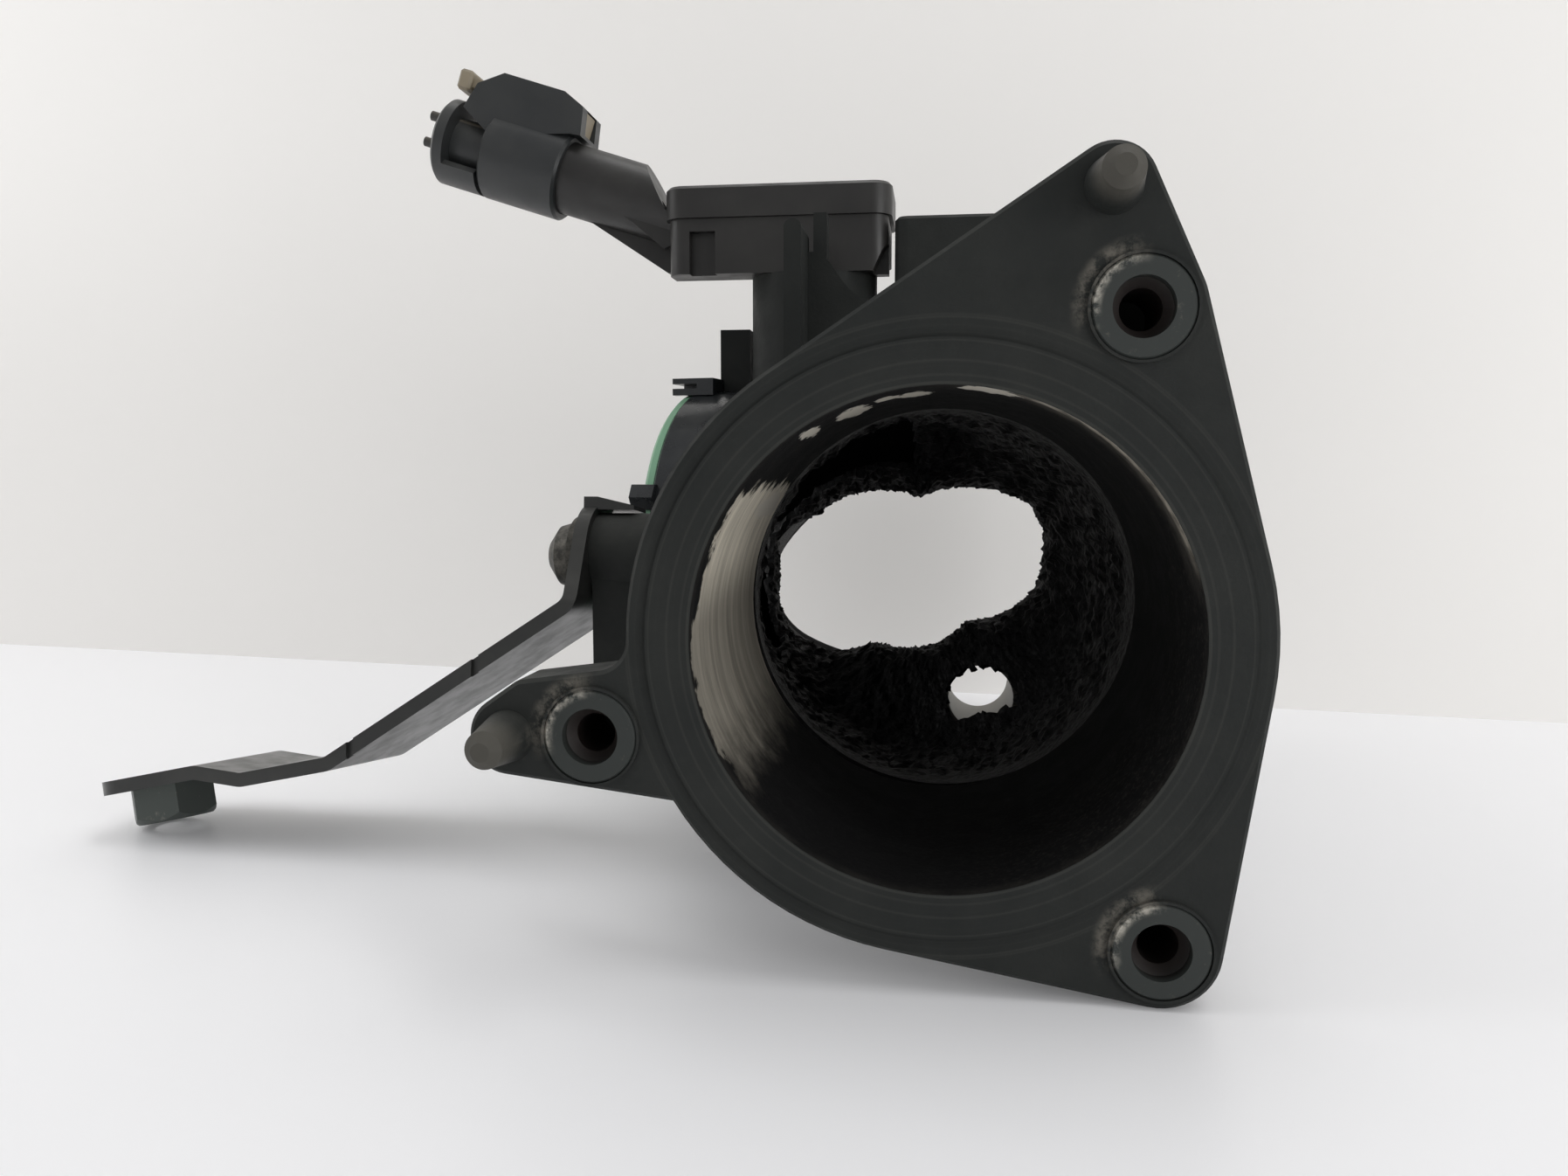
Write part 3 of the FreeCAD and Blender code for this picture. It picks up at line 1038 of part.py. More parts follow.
def bracket_screw():
    """Domed six-lobe screw with a collar, a small nub in the middle of its recess."""
    seat = -SHEET_T - FIT
    dome_start = seat - SCREW_COLLAR_T
    tip = dome_start - SCREW_DOME_H
    shank_r = M6_CORE_R - FIT
    profile = [
        (0, SCREW_L - SHEET_T), (shank_r, SCREW_L - SHEET_T), (shank_r, seat), (SCREW_COLLAR_R, seat),
        (SCREW_COLLAR_R, dome_start), (SCREW_DOME_R, dome_start),
        (SCREW_DOME_R * 0.87, dome_start - SCREW_DOME_H * 0.6), (SCREW_RECESS_R * 1.15, tip), (0, tip),
    ]
    points = [Vector(x, r, 0) for r, x in profile]
    face = Part.Face(Part.makePolygon(points + [points[0]]))
    screw = face.revolve(Vector(0, 0, 0), Vector(1, 0, 0), 360)
    recess = ring(SCREW_RECESS_R, SCREW_NUB_R, tip - EPS, SCREW_RECESS_D + EPS, Vector(1, 0, 0))
    return placed(screw.cut(recess), BRACKET_FRAME)


def boss_insert():
    insert = brass_insert(M6_CORE_R)
    frame = FreeCAD.Placement(Vector(0, 0, 0), Rotation(UP, Vector(-1, 0, 0)))
    return placed(placed(insert, frame), BRACKET_FRAME)


# Deposit

def soot_crust():
    """The uneven crust that lines the chamber and narrows the outlet."""
    shell = chamber(-FIT).fuse(outlet_oval(BACK_Y - BACK_ROUND, OUTLET_DUCT_L + BACK_ROUND + WALL, -FIT))
    room = crusted_chamber().fuse(
        crusted_outlet(BACK_Y - 3 * BACK_ROUND, OUTLET_DUCT_L + 6 * BACK_ROUND))
    mouths = [
        along_y(CHAMBER_R, NECK_L - CRUST_START, 2 * CRUST_START),
        placed(Part.makeCylinder(PORT_BORE_R + EPS, PORT_L + 2 * EPS, Vector(0, 0, -PORT_L - EPS)),
               PORT_FRAME),
        along_y(EGR_R, BACK_Y - 3 * BACK_ROUND, 8 * BACK_ROUND, EGR_X, EGR_Z),
        upright(TIP_R + 1.5, TURRET_X, TURRET_Y, 0, TURRET_TOP),
    ]
    return shell.cut(room.fuse(mouths)).removeSplitter()


def main():
    nodes = {
        "pipe_body": pipe_body(),
        "soot_crust": soot_crust(),
        "port_collar": port_collar(),
        "port_seal": port_seal(),
        "egr_bush": egr_bush(),
        "sensor_housing": sensor_housing(),
        "sensor_cover": sensor_cover(),
        "sensor_terminals": sensor_terminals(),
        "sensor_o_ring": seal_cord(0.0),
        "sensor_tip": sensor_tip(),
        "sensor_screw": sensor_screw(),
        "plug_housing": plug_housing(),
        "plug_lock": plug_lock(),
        "plug_rear_cap": plug_rear_cap(),
        "plug_seal": plug_seal(),
        "bracket": bracket(),
        "weld_nut": weld_nut(),
        "bracket_screw": bracket_screw(),
        "boss_insert": boss_insert(),
    }
    post_insert = brass_insert(M5_CORE_R)
    post_insert.translate(Vector(SENSOR_POST_X, SENSOR_POST_Y, TURRET_TOP))
    nodes["sensor_post_insert"] = post_insert
    for name, (x, z) in INSERT_PLACES.items():
        nodes["flange_insert_" + name] = flange_insert(x, z)
    for i, (x, z) in enumerate(SLEEVE_PLACES, start=1):
        nodes[f"outlet_sleeve_{i}"] = outlet_sleeve(x, z)
    for i, (y, z) in enumerate(WIRE_PLACES, start=1):
        nodes[f"wire_stub_{i}"] = wire_stub(y, z)
    os.makedirs("parts", exist_ok=True)
    for name, shape in nodes.items():
        if not shape.isValid():
            print("not valid:", name)
        print(f"{name}: {len(shape.Solids)} solid, {shape.Volume:.0f} mm3")
        shape.exportStep(f"parts/{name}.step")


main()
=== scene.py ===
import math

import bmesh
import bpy
from bpy.props import FloatProperty, FloatVectorProperty, PointerProperty
from mathutils import Matrix, Vector, noise


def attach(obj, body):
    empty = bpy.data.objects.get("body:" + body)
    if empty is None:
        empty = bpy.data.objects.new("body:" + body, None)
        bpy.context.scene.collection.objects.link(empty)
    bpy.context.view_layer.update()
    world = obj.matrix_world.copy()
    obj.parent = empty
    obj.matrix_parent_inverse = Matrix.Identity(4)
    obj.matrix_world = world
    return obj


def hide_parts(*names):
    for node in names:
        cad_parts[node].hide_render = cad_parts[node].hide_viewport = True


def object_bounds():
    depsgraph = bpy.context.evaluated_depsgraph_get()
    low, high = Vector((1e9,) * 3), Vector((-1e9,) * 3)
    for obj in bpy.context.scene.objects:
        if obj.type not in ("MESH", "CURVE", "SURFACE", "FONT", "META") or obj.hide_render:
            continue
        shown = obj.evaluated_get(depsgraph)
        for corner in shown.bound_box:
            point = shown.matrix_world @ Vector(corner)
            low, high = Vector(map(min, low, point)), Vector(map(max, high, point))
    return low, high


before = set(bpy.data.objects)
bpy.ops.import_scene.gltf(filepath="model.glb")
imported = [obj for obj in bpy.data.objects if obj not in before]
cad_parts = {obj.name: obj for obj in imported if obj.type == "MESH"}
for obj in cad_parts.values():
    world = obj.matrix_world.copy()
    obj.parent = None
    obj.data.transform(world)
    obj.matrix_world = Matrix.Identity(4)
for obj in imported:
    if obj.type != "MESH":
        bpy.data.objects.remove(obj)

bl_info = {
    "name": "Intake inlet pipe",
    "version": (1, 0, 0),
    "blender": (4, 5, 0),
    "location": "View3D > Sidebar > Intake pipe",
    "description": "Finishes a used intake inlet pipe with its sensor, plug and bracket, and sets its stage",
    "category": "Object",
}

CAD_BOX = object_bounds()
MM = 0.001

# The photograph's frame and its camera, in pixels and metres
PHOTO_W, PHOTO_H = 1795, 1346
FOCAL_PX = 1348.0
CAMERA_AT = Vector((0.0, -0.1415, 0.02076))
CAMERA_RIGHT = Vector((0.99105, 0.13353, 0.0))
CAMERA_UP = Vector((-0.01311, 0.09731, 0.99517))
CAMERA_AHEAD = CAMERA_UP.cross(CAMERA_RIGHT)
# Two points where the wall behind stands on the floor
WALL_LEFT, WALL_RIGHT = Vector((-0.3504, 0.2573, 0.0)), Vector((0.1589, 0.1846, 0.0))

# Sizes of the frame that the looks follow, from the centre of the flange's front face
BORE_R = 31 * MM
NECK_L = 53 * MM
INSERT_SEAT_R = 6.4 * MM
CHAMBER_R = 33.4 * MM          # to the crust's face
CHAMBER_MOUTH_R = 31.1 * MM
CHAMBER_WALL_R = 37.5 * MM     # between the inner and the outer face of the chamber's wall
CHAMBER_SWELL_L = 42 * MM
CHAMBER_END = Vector((-6 * MM, 125 * MM, -4 * MM))
PORT_AT, PORT_AXIS = Vector((-50.5 * MM, 100 * MM, 7 * MM)), Vector((-0.9848, 0.1736, 0.0))
PORT_R = 25 * MM
PORT_ROOM = 0.8 * MM           # the crust stays this far outside the port
PORT_OPEN_TO = 112 * MM        # behind this the crust grows across the coupling port
TIP_AT, TIP_ROOM_R = Vector((-25.7 * MM, 95 * MM, 0.0)), 5.6 * MM
SMALL_PORT, SMALL_PORT_R = Vector((9.2 * MM, 130 * MM, -31 * MM)), 7.8 * MM
SILL_LEFT, SILL_RIGHT = (1094, 823), (1163, 806)      # the crust's edge across the small port, in pixels
OUTLET_AT, OUTLET_TURN = Vector((-7 * MM, 0.0, -2.5 * MM)), math.radians(13)
OUTLET_ROOM = (35.3 * MM, 22.8 * MM)                  # half sizes of the oval room for the crust
OUTLET_WALL = (37.5 * MM, 25 * MM)                    # the same to the middle of the pipe's wall

# The crust's ragged window: its middle, the most it reaches, and where its edge turns in the photograph
WINDOW_AT = Vector((-8 * MM, 149 * MM, -3 * MM))
WINDOW_MOST = 34.5 * MM        # the outlet's wall is just past this
WINDOW_PIXELS = {
    "left_top": (877, 607), "slope_up": (930, 587), "shoulder_left": (1017, 556), "dip": (1054, 565),
    "top": (1108, 553), "shoulder_right": (1191, 575), "right_end": (1212, 610), "right_low": (1188, 677),
    "slope_down": (1110, 714), "bottom": (1000, 739), "bottom_left": (944, 747), "left_low": (891, 730),
    "left_end": (878, 697), "notch": (888, 650),
}
FUNNEL_START, FUNNEL_END = 98 * MM, 123 * MM    # here the crust closes in from the round to the window
LUMP_SIZE, SCRAP_SIZE = 7 * MM, 1.7 * MM        # the crust's lumps, and the scraps that stand on them
LUMP_RISE_L = 14 * MM          # behind the neck the lumps grow to their full height over this length
FLECK_SIZE = 0.9 * MM          # black flecks on the small port's upper edge

# How large the patterns of the materials are on the real part
DUST_PATCH, GLOSS_PATCH = 14 * MM, 5 * MM
METAL_FLAKE, SEAT_FLAKE = 1.6 * MM, 2.2 * MM
BORE_GRIT, LIP_CLOUD = 0.8 * MM, 3 * MM
WIPED_EDGE, WIPED_STREAK, FLAKE_EDGE = 5 * MM, 3.2 * MM, 2.5 * MM
STREAK_STRETCH = 2.5 * MM      # a radian counts as this much, so that the streaks run round the bore
LAND_RING = 0.9 * MM
CRUST_FLAKE, CRUST_GRAIN = 1.1 * MM, 0.7 * MM

# Where the bore's lip and rim get painted highlights, and where the bore is wiped: turns in radians from
# the right or, for the patch, from the left. Each pair says where the mark is nought and where it is full.
LIP_LOW, LIP_HIGH, LIP_DEPTH = (0.1, 0.45), (1.75, 1.1), (11 * MM, 1 * MM)
CRESCENT_LOW, CRESCENT_HIGH, CRESCENT_DEPTH = (0.25, 0.5), (1.4, 1.15), (3.6 * MM, 1.4 * MM)
WIPED_LOW, WIPED_HIGH, WIPED_DEPTH = (-0.75, -0.35), (0.68, 0.62), (56 * MM, 52 * MM)

# Bare flakes on the bore's wall: turn in radians and depth, and how far each reaches both ways
FLAKES = (
    ((1.40, 3 * MM), (0.10, 5 * MM)), ((1.70, 14 * MM), (0.07, 4 * MM)), ((1.80, 12 * MM), (0.06, 3 * MM)),
    ((1.96, 16 * MM), (0.07, 7 * MM)), ((2.16, 12 * MM), (0.04, 6 * MM)), ((2.62, 40 * MM), (0.08, 10 * MM)),
)

# The stage: how far it reaches each way, how much its surfaces glow, and where its lamps stand,
# with their sizes and watts
STAGE_REACH = 3
FLOOR_GLOW, WALL_GLOW, WORLD_GLOW = 0.1, 0.08, 0.4
LAMP_AIM = Vector((0.0, 0.06, 0.0))
LAMPS = (
    ("long_lamp", Vector((0.03, 0.09, 0.62)), (1.4, 0.16), 2.3),
    ("left_lamp", Vector((-0.7, 0.0, 0.4)), (0.5, 0.5), 1.5),
    ("bore_lamp", Vector((0.5, -0.36, 0.1)), (0.4, 0.3), 1.3),
)


def linear(hex_colour):
    """Linear RGBA of an sRGB hex value."""
    values = [int(hex_colour[i:i + 2], 16) / 255 for i in (1, 3, 5)]
    return tuple(v / 12.92 if v <= 0.04045 else ((v + 0.055) / 1.055) ** 2.4 for v in values) + (1.0,)


def add_node(tree, kind, inputs=None, **settings):
    """Adds a shader node with its settings, and sets or links its inputs."""
    node = tree.nodes.new("ShaderNode" + kind)
    for name, value in settings.items():
        setattr(node, name, value)
    for key, value in (inputs or {}).items():
        if isinstance(value, bpy.types.NodeSocket):
            tree.links.new(value, node.inputs[key])
        else:
            node.inputs[key].default_value = value
    return node


def colour_prop(name, description, hex_colour):
    return FloatVectorProperty(name=name, description=description, subtype="COLOR", size=4,
                               min=0.0, max=1.0, default=linear(hex_colour))


class PipeColours(bpy.types.PropertyGroup):
    """Colours that a user would change."""
    pipe: colour_prop("Pipe", "Glass-filled nylon of the pipe", "#262827")
    dust: colour_prop("Dust", "Dust on the moulded faces", "#77766f")
    soot: colour_prop("Soot", "Soot crust in the chamber", "#0e0e0f")
    # Also the colour of the painted light on the bore's lit side and its lip
    grit: colour_prop("Grit", "Grey grit and rubbed edges", "#6f6b63")
    # Also the colour of the painted highlight crescent on the bore's rim
    wiped: colour_prop("Wiped patch", "Where the soot is wiped off the bore", "#e2dac9")
    flake: colour_prop("Bare flakes", "Small places wiped clean", "#c9c4b8")
    collar: colour_prop("Collar", "Glossy collar of the coupling", "#181c20")
    seal: colour_prop("Green seal", "Ring seal of the coupling", "#7fae8e")
    sensor: colour_prop("Sensor", "Sensor case", "#242322")
    plug: colour_prop("Plug", "Plug housing", "#2c2e2f")
    lock: colour_prop("Lock", "Aged locking strip of the plug", "#958a76")
    paint: colour_prop("Paint", "Black paint of the bracket", "#242524")
    nut: colour_prop("Nut", "Weld nut", "#5d625f")
    insert: colour_prop("Insert", "Dark metal of the flange's inserts", "#2e3230")
    screw: colour_prop("Screw", "Domed screw of the bracket", "#34332f")
    rust: colour_prop("Insert bore", "Oily rust down the inserts' holes", "#1d1512")
    bare: colour_prop("Bare metal", "Where the dark metal is worn", "#8f8d86")
    floor: colour_prop("Floor", "Floor that the part stands on", "#f1f1f3")
    wall: colour_prop("Wall", "Wall behind", "#f0eeeb")


class PipeSizes(bpy.types.PropertyGroup):
    """Sizes that a user would change."""
    grain: FloatProperty(name="Moulded grain", description="Spacing of the grain of moulded faces",
                         default=0.6 * MM, min=0.1 * MM, unit="LENGTH")
    crust_cell: FloatProperty(name="Crust detail", description="Size of the crust's smallest facets",
                              default=0.9 * MM, min=0.5 * MM, unit="LENGTH")
    crust_lump: FloatProperty(name="Crust lumps", description="How far the crust's lumps stand out",
                              default=1.6 * MM, min=0.0, unit="LENGTH")
    crust_t: FloatProperty(name="Crust thickness", description="Thickness of the crust's skin",
                           default=1.2 * MM, min=0.2 * MM, unit="LENGTH")
    wall_h: FloatProperty(name="Wall height", description="Height of the wall behind",
                          default=0.9, min=0.1, unit="LENGTH")


# Materials

def new_material(name):
    material = bpy.data.materials.new(name)
    material.use_nodes = True
    tree = material.node_tree
    tree.nodes.clear()
    shader = add_node(tree, "BsdfPrincipled")
    add_node(tree, "OutputMaterial", {"Surface": shader.outputs[0]})
    return material, tree, shader


def put_on(material, *names):
    """Gives nodes of the frame this material."""
    for name in names:
        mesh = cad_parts[name].data
        mesh.materials.clear()
        mesh.materials.append(material)


def speckle(tree, place, size, low, high, detail=4.0, rough=0.6):
    """A soft mask of blotches, about size across."""
    grain = add_node(tree, "TexNoise", {"Vector": place, "Scale": 1 / size, "Detail": detail,
                                        "Roughness": rough})
    limits = {"Value": grain.outputs[0], "From Min": low, "From Max": high}
    return add_node(tree, "MapRange", limits).outputs[0]


def blend(tree, amount, first, second):
    """Mixes two colours."""
    return add_node(tree, "Mix", {0: amount, 6: first, 7: second}, data_type="RGBA").outputs[2]


def sums(tree, operation, *values):
    result = values[0]
    for value in values[1:]:
        result = add_node(tree, "Math", {0: result, 1: value}, operation=operation).outputs[0]
    return result


def bump(tree, shader, height, strength, depth):
    """Raises the surface by height, depth metres at most."""
    relief = add_node(tree, "Bump", {"Height": height, "Strength": strength, "Distance": depth})
    tree.links.new(relief.outputs[0], shader.inputs["Normal"])


def ramp(tree, value, low, high, at_low=0.0, at_high=1.0):
    """Follows value smoothly from at_low at low to at_high at high."""
    inputs = {"Value": value, "To Min": at_low, "To Max": at_high}
    if low > high:
        low, high = high, low
        inputs["To Min"], inputs["To Max"] = at_high, at_low
    inputs.update({"From Min": low, "From Max": high})
    return add_node(tree, "MapRange", inputs, interpolation_type="SMOOTHSTEP").outputs[0]


def length_of(tree, a, b):
    squares = sums(tree, "ADD", sums(tree, "MULTIPLY", a, a), sums(tree, "MULTIPLY", b, b))
    return sums(tree, "POWER", squares, 0.5)


def spot(tree, across, along, at, reach, ragged):
    """A ragged oval patch round at, on a surface measured across and along."""
    u = sums(tree, "DIVIDE", sums(tree, "SUBTRACT", across, at[0]), reach[0])
    v = sums(tree, "DIVIDE", sums(tree, "SUBTRACT", along, at[1]), reach[1])
    return ramp(tree, sums(tree, "ADD", length_of(tree, u, v), ragged), 1.05, 0.95)


def moulded(name, colour, dust, roughness, grain, dust_most=0.35, coat=0.0):
    """Moulded plastic: an even colour, a fine grain, and dust that settles in soft patches."""
    material, tree, shader = new_material(name)
    place = add_node(tree, "TexCoord").outputs["Object"]
    up = add_node(tree, "SeparateXYZ", {0: add_node(tree, "NewGeometry").outputs["Normal"]}).outputs[2]
    patches = speckle(tree, place, DUST_PATCH, 0.38, 0.75)
    dust_and_highlight = sums(tree, "MULTIPLY", ramp(tree, up, -0.2, 1.0, 0.25), patches, dust_most)
    tree.links.new(blend(tree, dust_and_highlight, colour, dust), shader.inputs["Base Color"])
    gloss = speckle(tree, place, GLOSS_PATCH, 0.3, 0.8)
    tree.links.new(ramp(tree, gloss, 0.0, 1.0, roughness - 0.08, roughness + 0.1),
                   shader.inputs["Roughness"])
    shader.inputs["Coat Weight"].default_value = coat
    shader.inputs["Coat Roughness"].default_value = 0.12
    height = add_node(tree, "TexNoise", {"Vector": place, "Scale": 1 / grain, "Detail": 3.0}).outputs[0]
    bump(tree, shader, height, 0.25, 0.05 * MM)
    return material, tree, shader


def metal(name, colour, worn, roughness, worn_low, worn_high, metallic=0.75):
    """Dull metal: darker where it is coated, lighter in worn flakes."""
    material, tree, shader = new_material(name)
    place = add_node(tree, "TexCoord").outputs["Object"]
    flakes = speckle(tree, place, METAL_FLAKE, worn_low, worn_high, 6.0, 0.7)
    tree.links.new(blend(tree, flakes, colour, worn), shader.inputs["Base Color"])
    shader.inputs["Metallic"].default_value = metallic
    tree.links.new(ramp(tree, flakes, 0.0, 1.0, roughness, roughness - 0.12), shader.inputs["Roughness"])
    bump(tree, shader, flakes, 0.3, 0.05 * MM)
    return material, tree, shader


def seat_wear(tree, x, y, z, place):
    """Pale worn arcs on the upper left of each insert's seat, on the flange's front only."""
    flakes = speckle(tree, place, SEAT_FLAKE, 0.42, 0.6, 6.0, 0.7)
    arcs = []
    for name in ("upper", "lower", "ear"):
        points = [vert.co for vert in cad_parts["flange_insert_" + name].data.vertices]
        middle = [(min(p[i] for p in points) + max(p[i] for p in points)) / 2 for i in range(3)]
        dx, dz = sums(tree, "SUBTRACT", x, middle[0]), sums(tree, "SUBTRACT", z, middle[2])
        away = length_of(tree, dx, dz)
        ring = sums(tree, "MULTIPLY", ramp(tree, away, 0.72 * INSERT_SEAT_R, 0.9 * INSERT_SEAT_R),
                    ramp(tree, away, 1.35 * INSERT_SEAT_R, 1.1 * INSERT_SEAT_R))
        side = sums(tree, "DIVIDE", sums(tree, "SUBTRACT", dz, sums(tree, "MULTIPLY", dx, 1.4)), away)
        arcs.append(sums(tree, "MULTIPLY", ring, ramp(tree, side, 0.7, 1.6)))
    front = ramp(tree, y, 1.6 * MM, 0.9 * MM)
    return sums(tree, "MULTIPLY", sums(tree, "ADD", *arcs), flakes, front)


def bore_shade(tree, colours, place, x, y, z):
    """The bore's wall: black soot with grey grit, stronger on the lit side as painted light, a wiped patch
    on the left, painted lighter towards its top, a lip with dust and a painted highlight, a painted
    highlight crescent high on the right, and bare flakes along the top."""
    left_turn = sums(tree, "ARCTAN2", z, sums(tree, "MULTIPLY", x, -1.0))
    right_turn = sums(tree, "ARCTAN2", z, x)
    grit = speckle(tree, place, BORE_GRIT, 0.52, 0.7, 8.0, 0.75)
    # The grit is painted stronger on the right wall and near the mouth, where light falls in: painted light
    lit_side = sums(tree, "MULTIPLY", ramp(tree, x, -6 * MM, 24 * MM, 0.1, 1.0),
                    ramp(tree, y, 46 * MM, 4 * MM))
    shade = blend(tree, sums(tree, "MULTIPLY", grit, lit_side, 0.2), colours.soot, colours.grit)
    # Painted highlight with some dust on the lip, high on the right, and a thin one round the whole mouth
    lip = sums(tree, "MULTIPLY", ramp(tree, right_turn, *LIP_LOW), ramp(tree, right_turn, *LIP_HIGH),
               ramp(tree, y, *LIP_DEPTH))
    mouth_highlight_band = ramp(tree, y, 3.0 * MM, 0.4 * MM, 0.0, 0.15)
    cloud = speckle(tree, place, LIP_CLOUD, 0.25, 0.6, 6.0, 0.6)
    dust_and_highlight = sums(tree, "MULTIPLY", sums(tree, "MAXIMUM", lip, mouth_highlight_band), cloud, 0.55)
    shade = blend(tree, dust_and_highlight, shade, colours.grit)
    # A painted highlight: a bright crescent on the rim, high on the right, where light grazes the edge
    crescent = sums(tree, "MULTIPLY", ramp(tree, right_turn, *CRESCENT_LOW),
                    ramp(tree, right_turn, *CRESCENT_HIGH), ramp(tree, y, *CRESCENT_DEPTH), cloud, 0.5)
    shade = blend(tree, crescent, shade, colours.wiped)
    # Wiped patch, brushed round the bore and torn at its back edge
    off = sums(tree, "SUBTRACT", speckle(tree, place, WIPED_EDGE, 0.2, 0.8, 8.0, 0.65), 0.5)
    depth = sums(tree, "ADD", y, sums(tree, "MULTIPLY", off, 8 * MM))
    turn = sums(tree, "ADD", left_turn, sums(tree, "MULTIPLY", off, 0.22))
    start = ramp(tree, left_turn, -0.2, 0.3, 1 * MM, 4 * MM)
    patch = sums(tree, "MULTIPLY", ramp(tree, sums(tree, "SUBTRACT", depth, start), 0.0, 1.5 * MM),
                 ramp(tree, turn, *WIPED_LOW), ramp(tree, turn, *WIPED_HIGH),
                 ramp(tree, depth, *WIPED_DEPTH))
    around = sums(tree, "MULTIPLY", left_turn, STREAK_STRETCH)
    streak_place = add_node(tree, "CombineXYZ", {0: around, 1: y}).outputs[0]
    streaks = speckle(tree, streak_place, WIPED_STREAK, 0.3, 0.7, 6.0, 0.7)
    # The patch is painted lighter towards its top as painted light; its streaks are the wiping's own
    streaks_and_painted_top_light = sums(tree, "MULTIPLY", ramp(tree, left_turn, 0.0, 0.35, 0.45, 1.0),
                  ramp(tree, streaks, 0.0, 1.0, 0.55, 1.0))
    shade = blend(tree, sums(tree, "MULTIPLY", patch, streaks_and_painted_top_light), shade, colours.wiped)
    # Bare flakes along the top
    torn = speckle(tree, place, FLAKE_EDGE, 0.2, 0.8, 8.0, 0.7)
    uneven = sums(tree, "MULTIPLY", sums(tree, "SUBTRACT", torn, 0.5), 1.6)
    flakes = [spot(tree, right_turn, y, at, reach, uneven) for at, reach in FLAKES]
    return blend(tree, sums(tree, "MAXIMUM", *flakes), shade, colours.flake), grit


def pipe_material(colours, sizes):
    """Glass-filled nylon, moulded: matte charcoal outside, worn round the inserts, sooty inside."""
    material, tree, shader = moulded("glass_filled_nylon", colours.pipe, colours.dust, 0.6,
                                     sizes.grain, 0.15)
    place = add_node(tree, "TexCoord").outputs["Object"]
    x, y, z = add_node(tree, "SeparateXYZ", {0: place}).outputs
    radius = length_of(tree, x, z)
    outside = shader.inputs["Base Color"].links[0].from_socket
    worn_seats = sums(tree, "MULTIPLY", seat_wear(tree, x, y, z, place), 0.8)
    outside = blend(tree, worn_seats, outside, colours.grit)
    # Pins are rubbed to a dull grey-brown towards their tips
    outside = blend(tree, ramp(tree, y, -1.5 * MM, -7 * MM, 0.0, 0.4), outside, colours.grit)
    # Faint turned rings on the sealing land
    by_radius = add_node(tree, "CombineXYZ", {0: radius}).outputs[0]
    ridges = add_node(tree, "TexNoise", {"Vector": by_radius, "Scale": 1 / LAND_RING, "Detail": 2.0})
    rings = ramp(tree, ridges.outputs[0], 0.5, 0.7)
    on_land = sums(tree, "MULTIPLY", ramp(tree, radius, 40 * MM, 39 * MM), ramp(tree, y, 1.2 * MM, 0.8 * MM))
    outside = blend(tree, sums(tree, "MULTIPLY", rings, on_land, 0.12), outside, colours.dust)
    inside, grit = bore_shade(tree, colours, place, x, y, z)
    behind_face = ramp(tree, y, 0.02 * MM, 0.1 * MM)
    in_neck = sums(tree, "MULTIPLY", ramp(tree, radius, BORE_R + 0.6 * MM, BORE_R + 0.3 * MM), behind_face)
    wall_r = ramp(tree, y, NECK_L, NECK_L + 20 * MM, BORE_R + 1.5 * MM, CHAMBER_WALL_R)
    past_wall = sums(tree, "SUBTRACT", radius, wall_r)
    in_chamber = sums(tree, "MULTIPLY", ramp(tree, past_wall, 0.5 * MM, -0.5 * MM),
                      ramp(tree, y, NECK_L - 2 * MM, NECK_L))
    # The outlet's oval inside is as sooty as the chamber
    cosine, sine = math.cos(OUTLET_TURN), math.sin(OUTLET_TURN)
    from_x, from_z = sums(tree, "SUBTRACT", x, OUTLET_AT.x), sums(tree, "SUBTRACT", z, OUTLET_AT.z)
    wide = sums(tree, "ADD", sums(tree, "MULTIPLY", from_x, cosine), sums(tree, "MULTIPLY", from_z, sine))
    high = sums(tree, "SUBTRACT", sums(tree, "MULTIPLY", from_z, cosine),
                sums(tree, "MULTIPLY", from_x, sine))
    from_middle = length_of(tree, sums(tree, "DIVIDE", wide, OUTLET_WALL[0]),
                            sums(tree, "DIVIDE", high, OUTLET_WALL[1]))
    in_outlet = sums(tree, "MULTIPLY", ramp(tree, from_middle, 1.02, 0.98),
                     ramp(tree, y, 118 * MM, 121 * MM), ramp(tree, y, 156.8 * MM, 156 * MM))
    sooty = sums(tree, "MAXIMUM", in_chamber, in_outlet)
    inner = sums(tree, "MAXIMUM", in_neck, sooty)
    tree.links.new(blend(tree, inner, outside, blend(tree, sooty, inside, colours.soot)),
                   shader.inputs["Base Color"])
    height = sums(tree, "ADD", sums(tree, "MULTIPLY", grit, inner),
                  add_node(tree, "TexNoise", {"Vector": place, "Scale": 1 / sizes.grain}).outputs[0])
    bump(tree, shader, height, 0.35, 0.12 * MM)
    gloss = shader.inputs["Roughness"].links[0].from_socket
    tree.links.new(sums(tree, "ADD", gloss, sums(tree, "MULTIPLY", inner, 0.4)), shader.inputs["Roughness"])
    shader.inputs["Specular IOR Level"].default_value = 0.15
    return material


def soot_material(colours):
    """Soot and oil baked to a crust: dull black flakes, with a faint sheen on their tips."""
    material, tree, shader = new_material("baked_soot")
    place = add_node(tree, "TexCoord").outputs["Object"]
    grains = speckle(tree, place, CRUST_GRAIN, 0.5, 0.75, 8.0, 0.7)
    tree.links.new(blend(tree, sums(tree, "MULTIPLY", grains, 0.05), colours.soot, colours.grit),
                   shader.inputs["Base Color"])
    shader.inputs["Roughness"].default_value = 0.6
    shader.inputs["Specular IOR Level"].default_value = 0.2
    lumps = add_node(tree, "TexVoronoi", {"Vector": place, "Scale": 1 / CRUST_FLAKE}).outputs[0]
    bump(tree, shader, sums(tree, "ADD", lumps, grains), 0.7, 0.4 * MM)
    return material


# Pieces

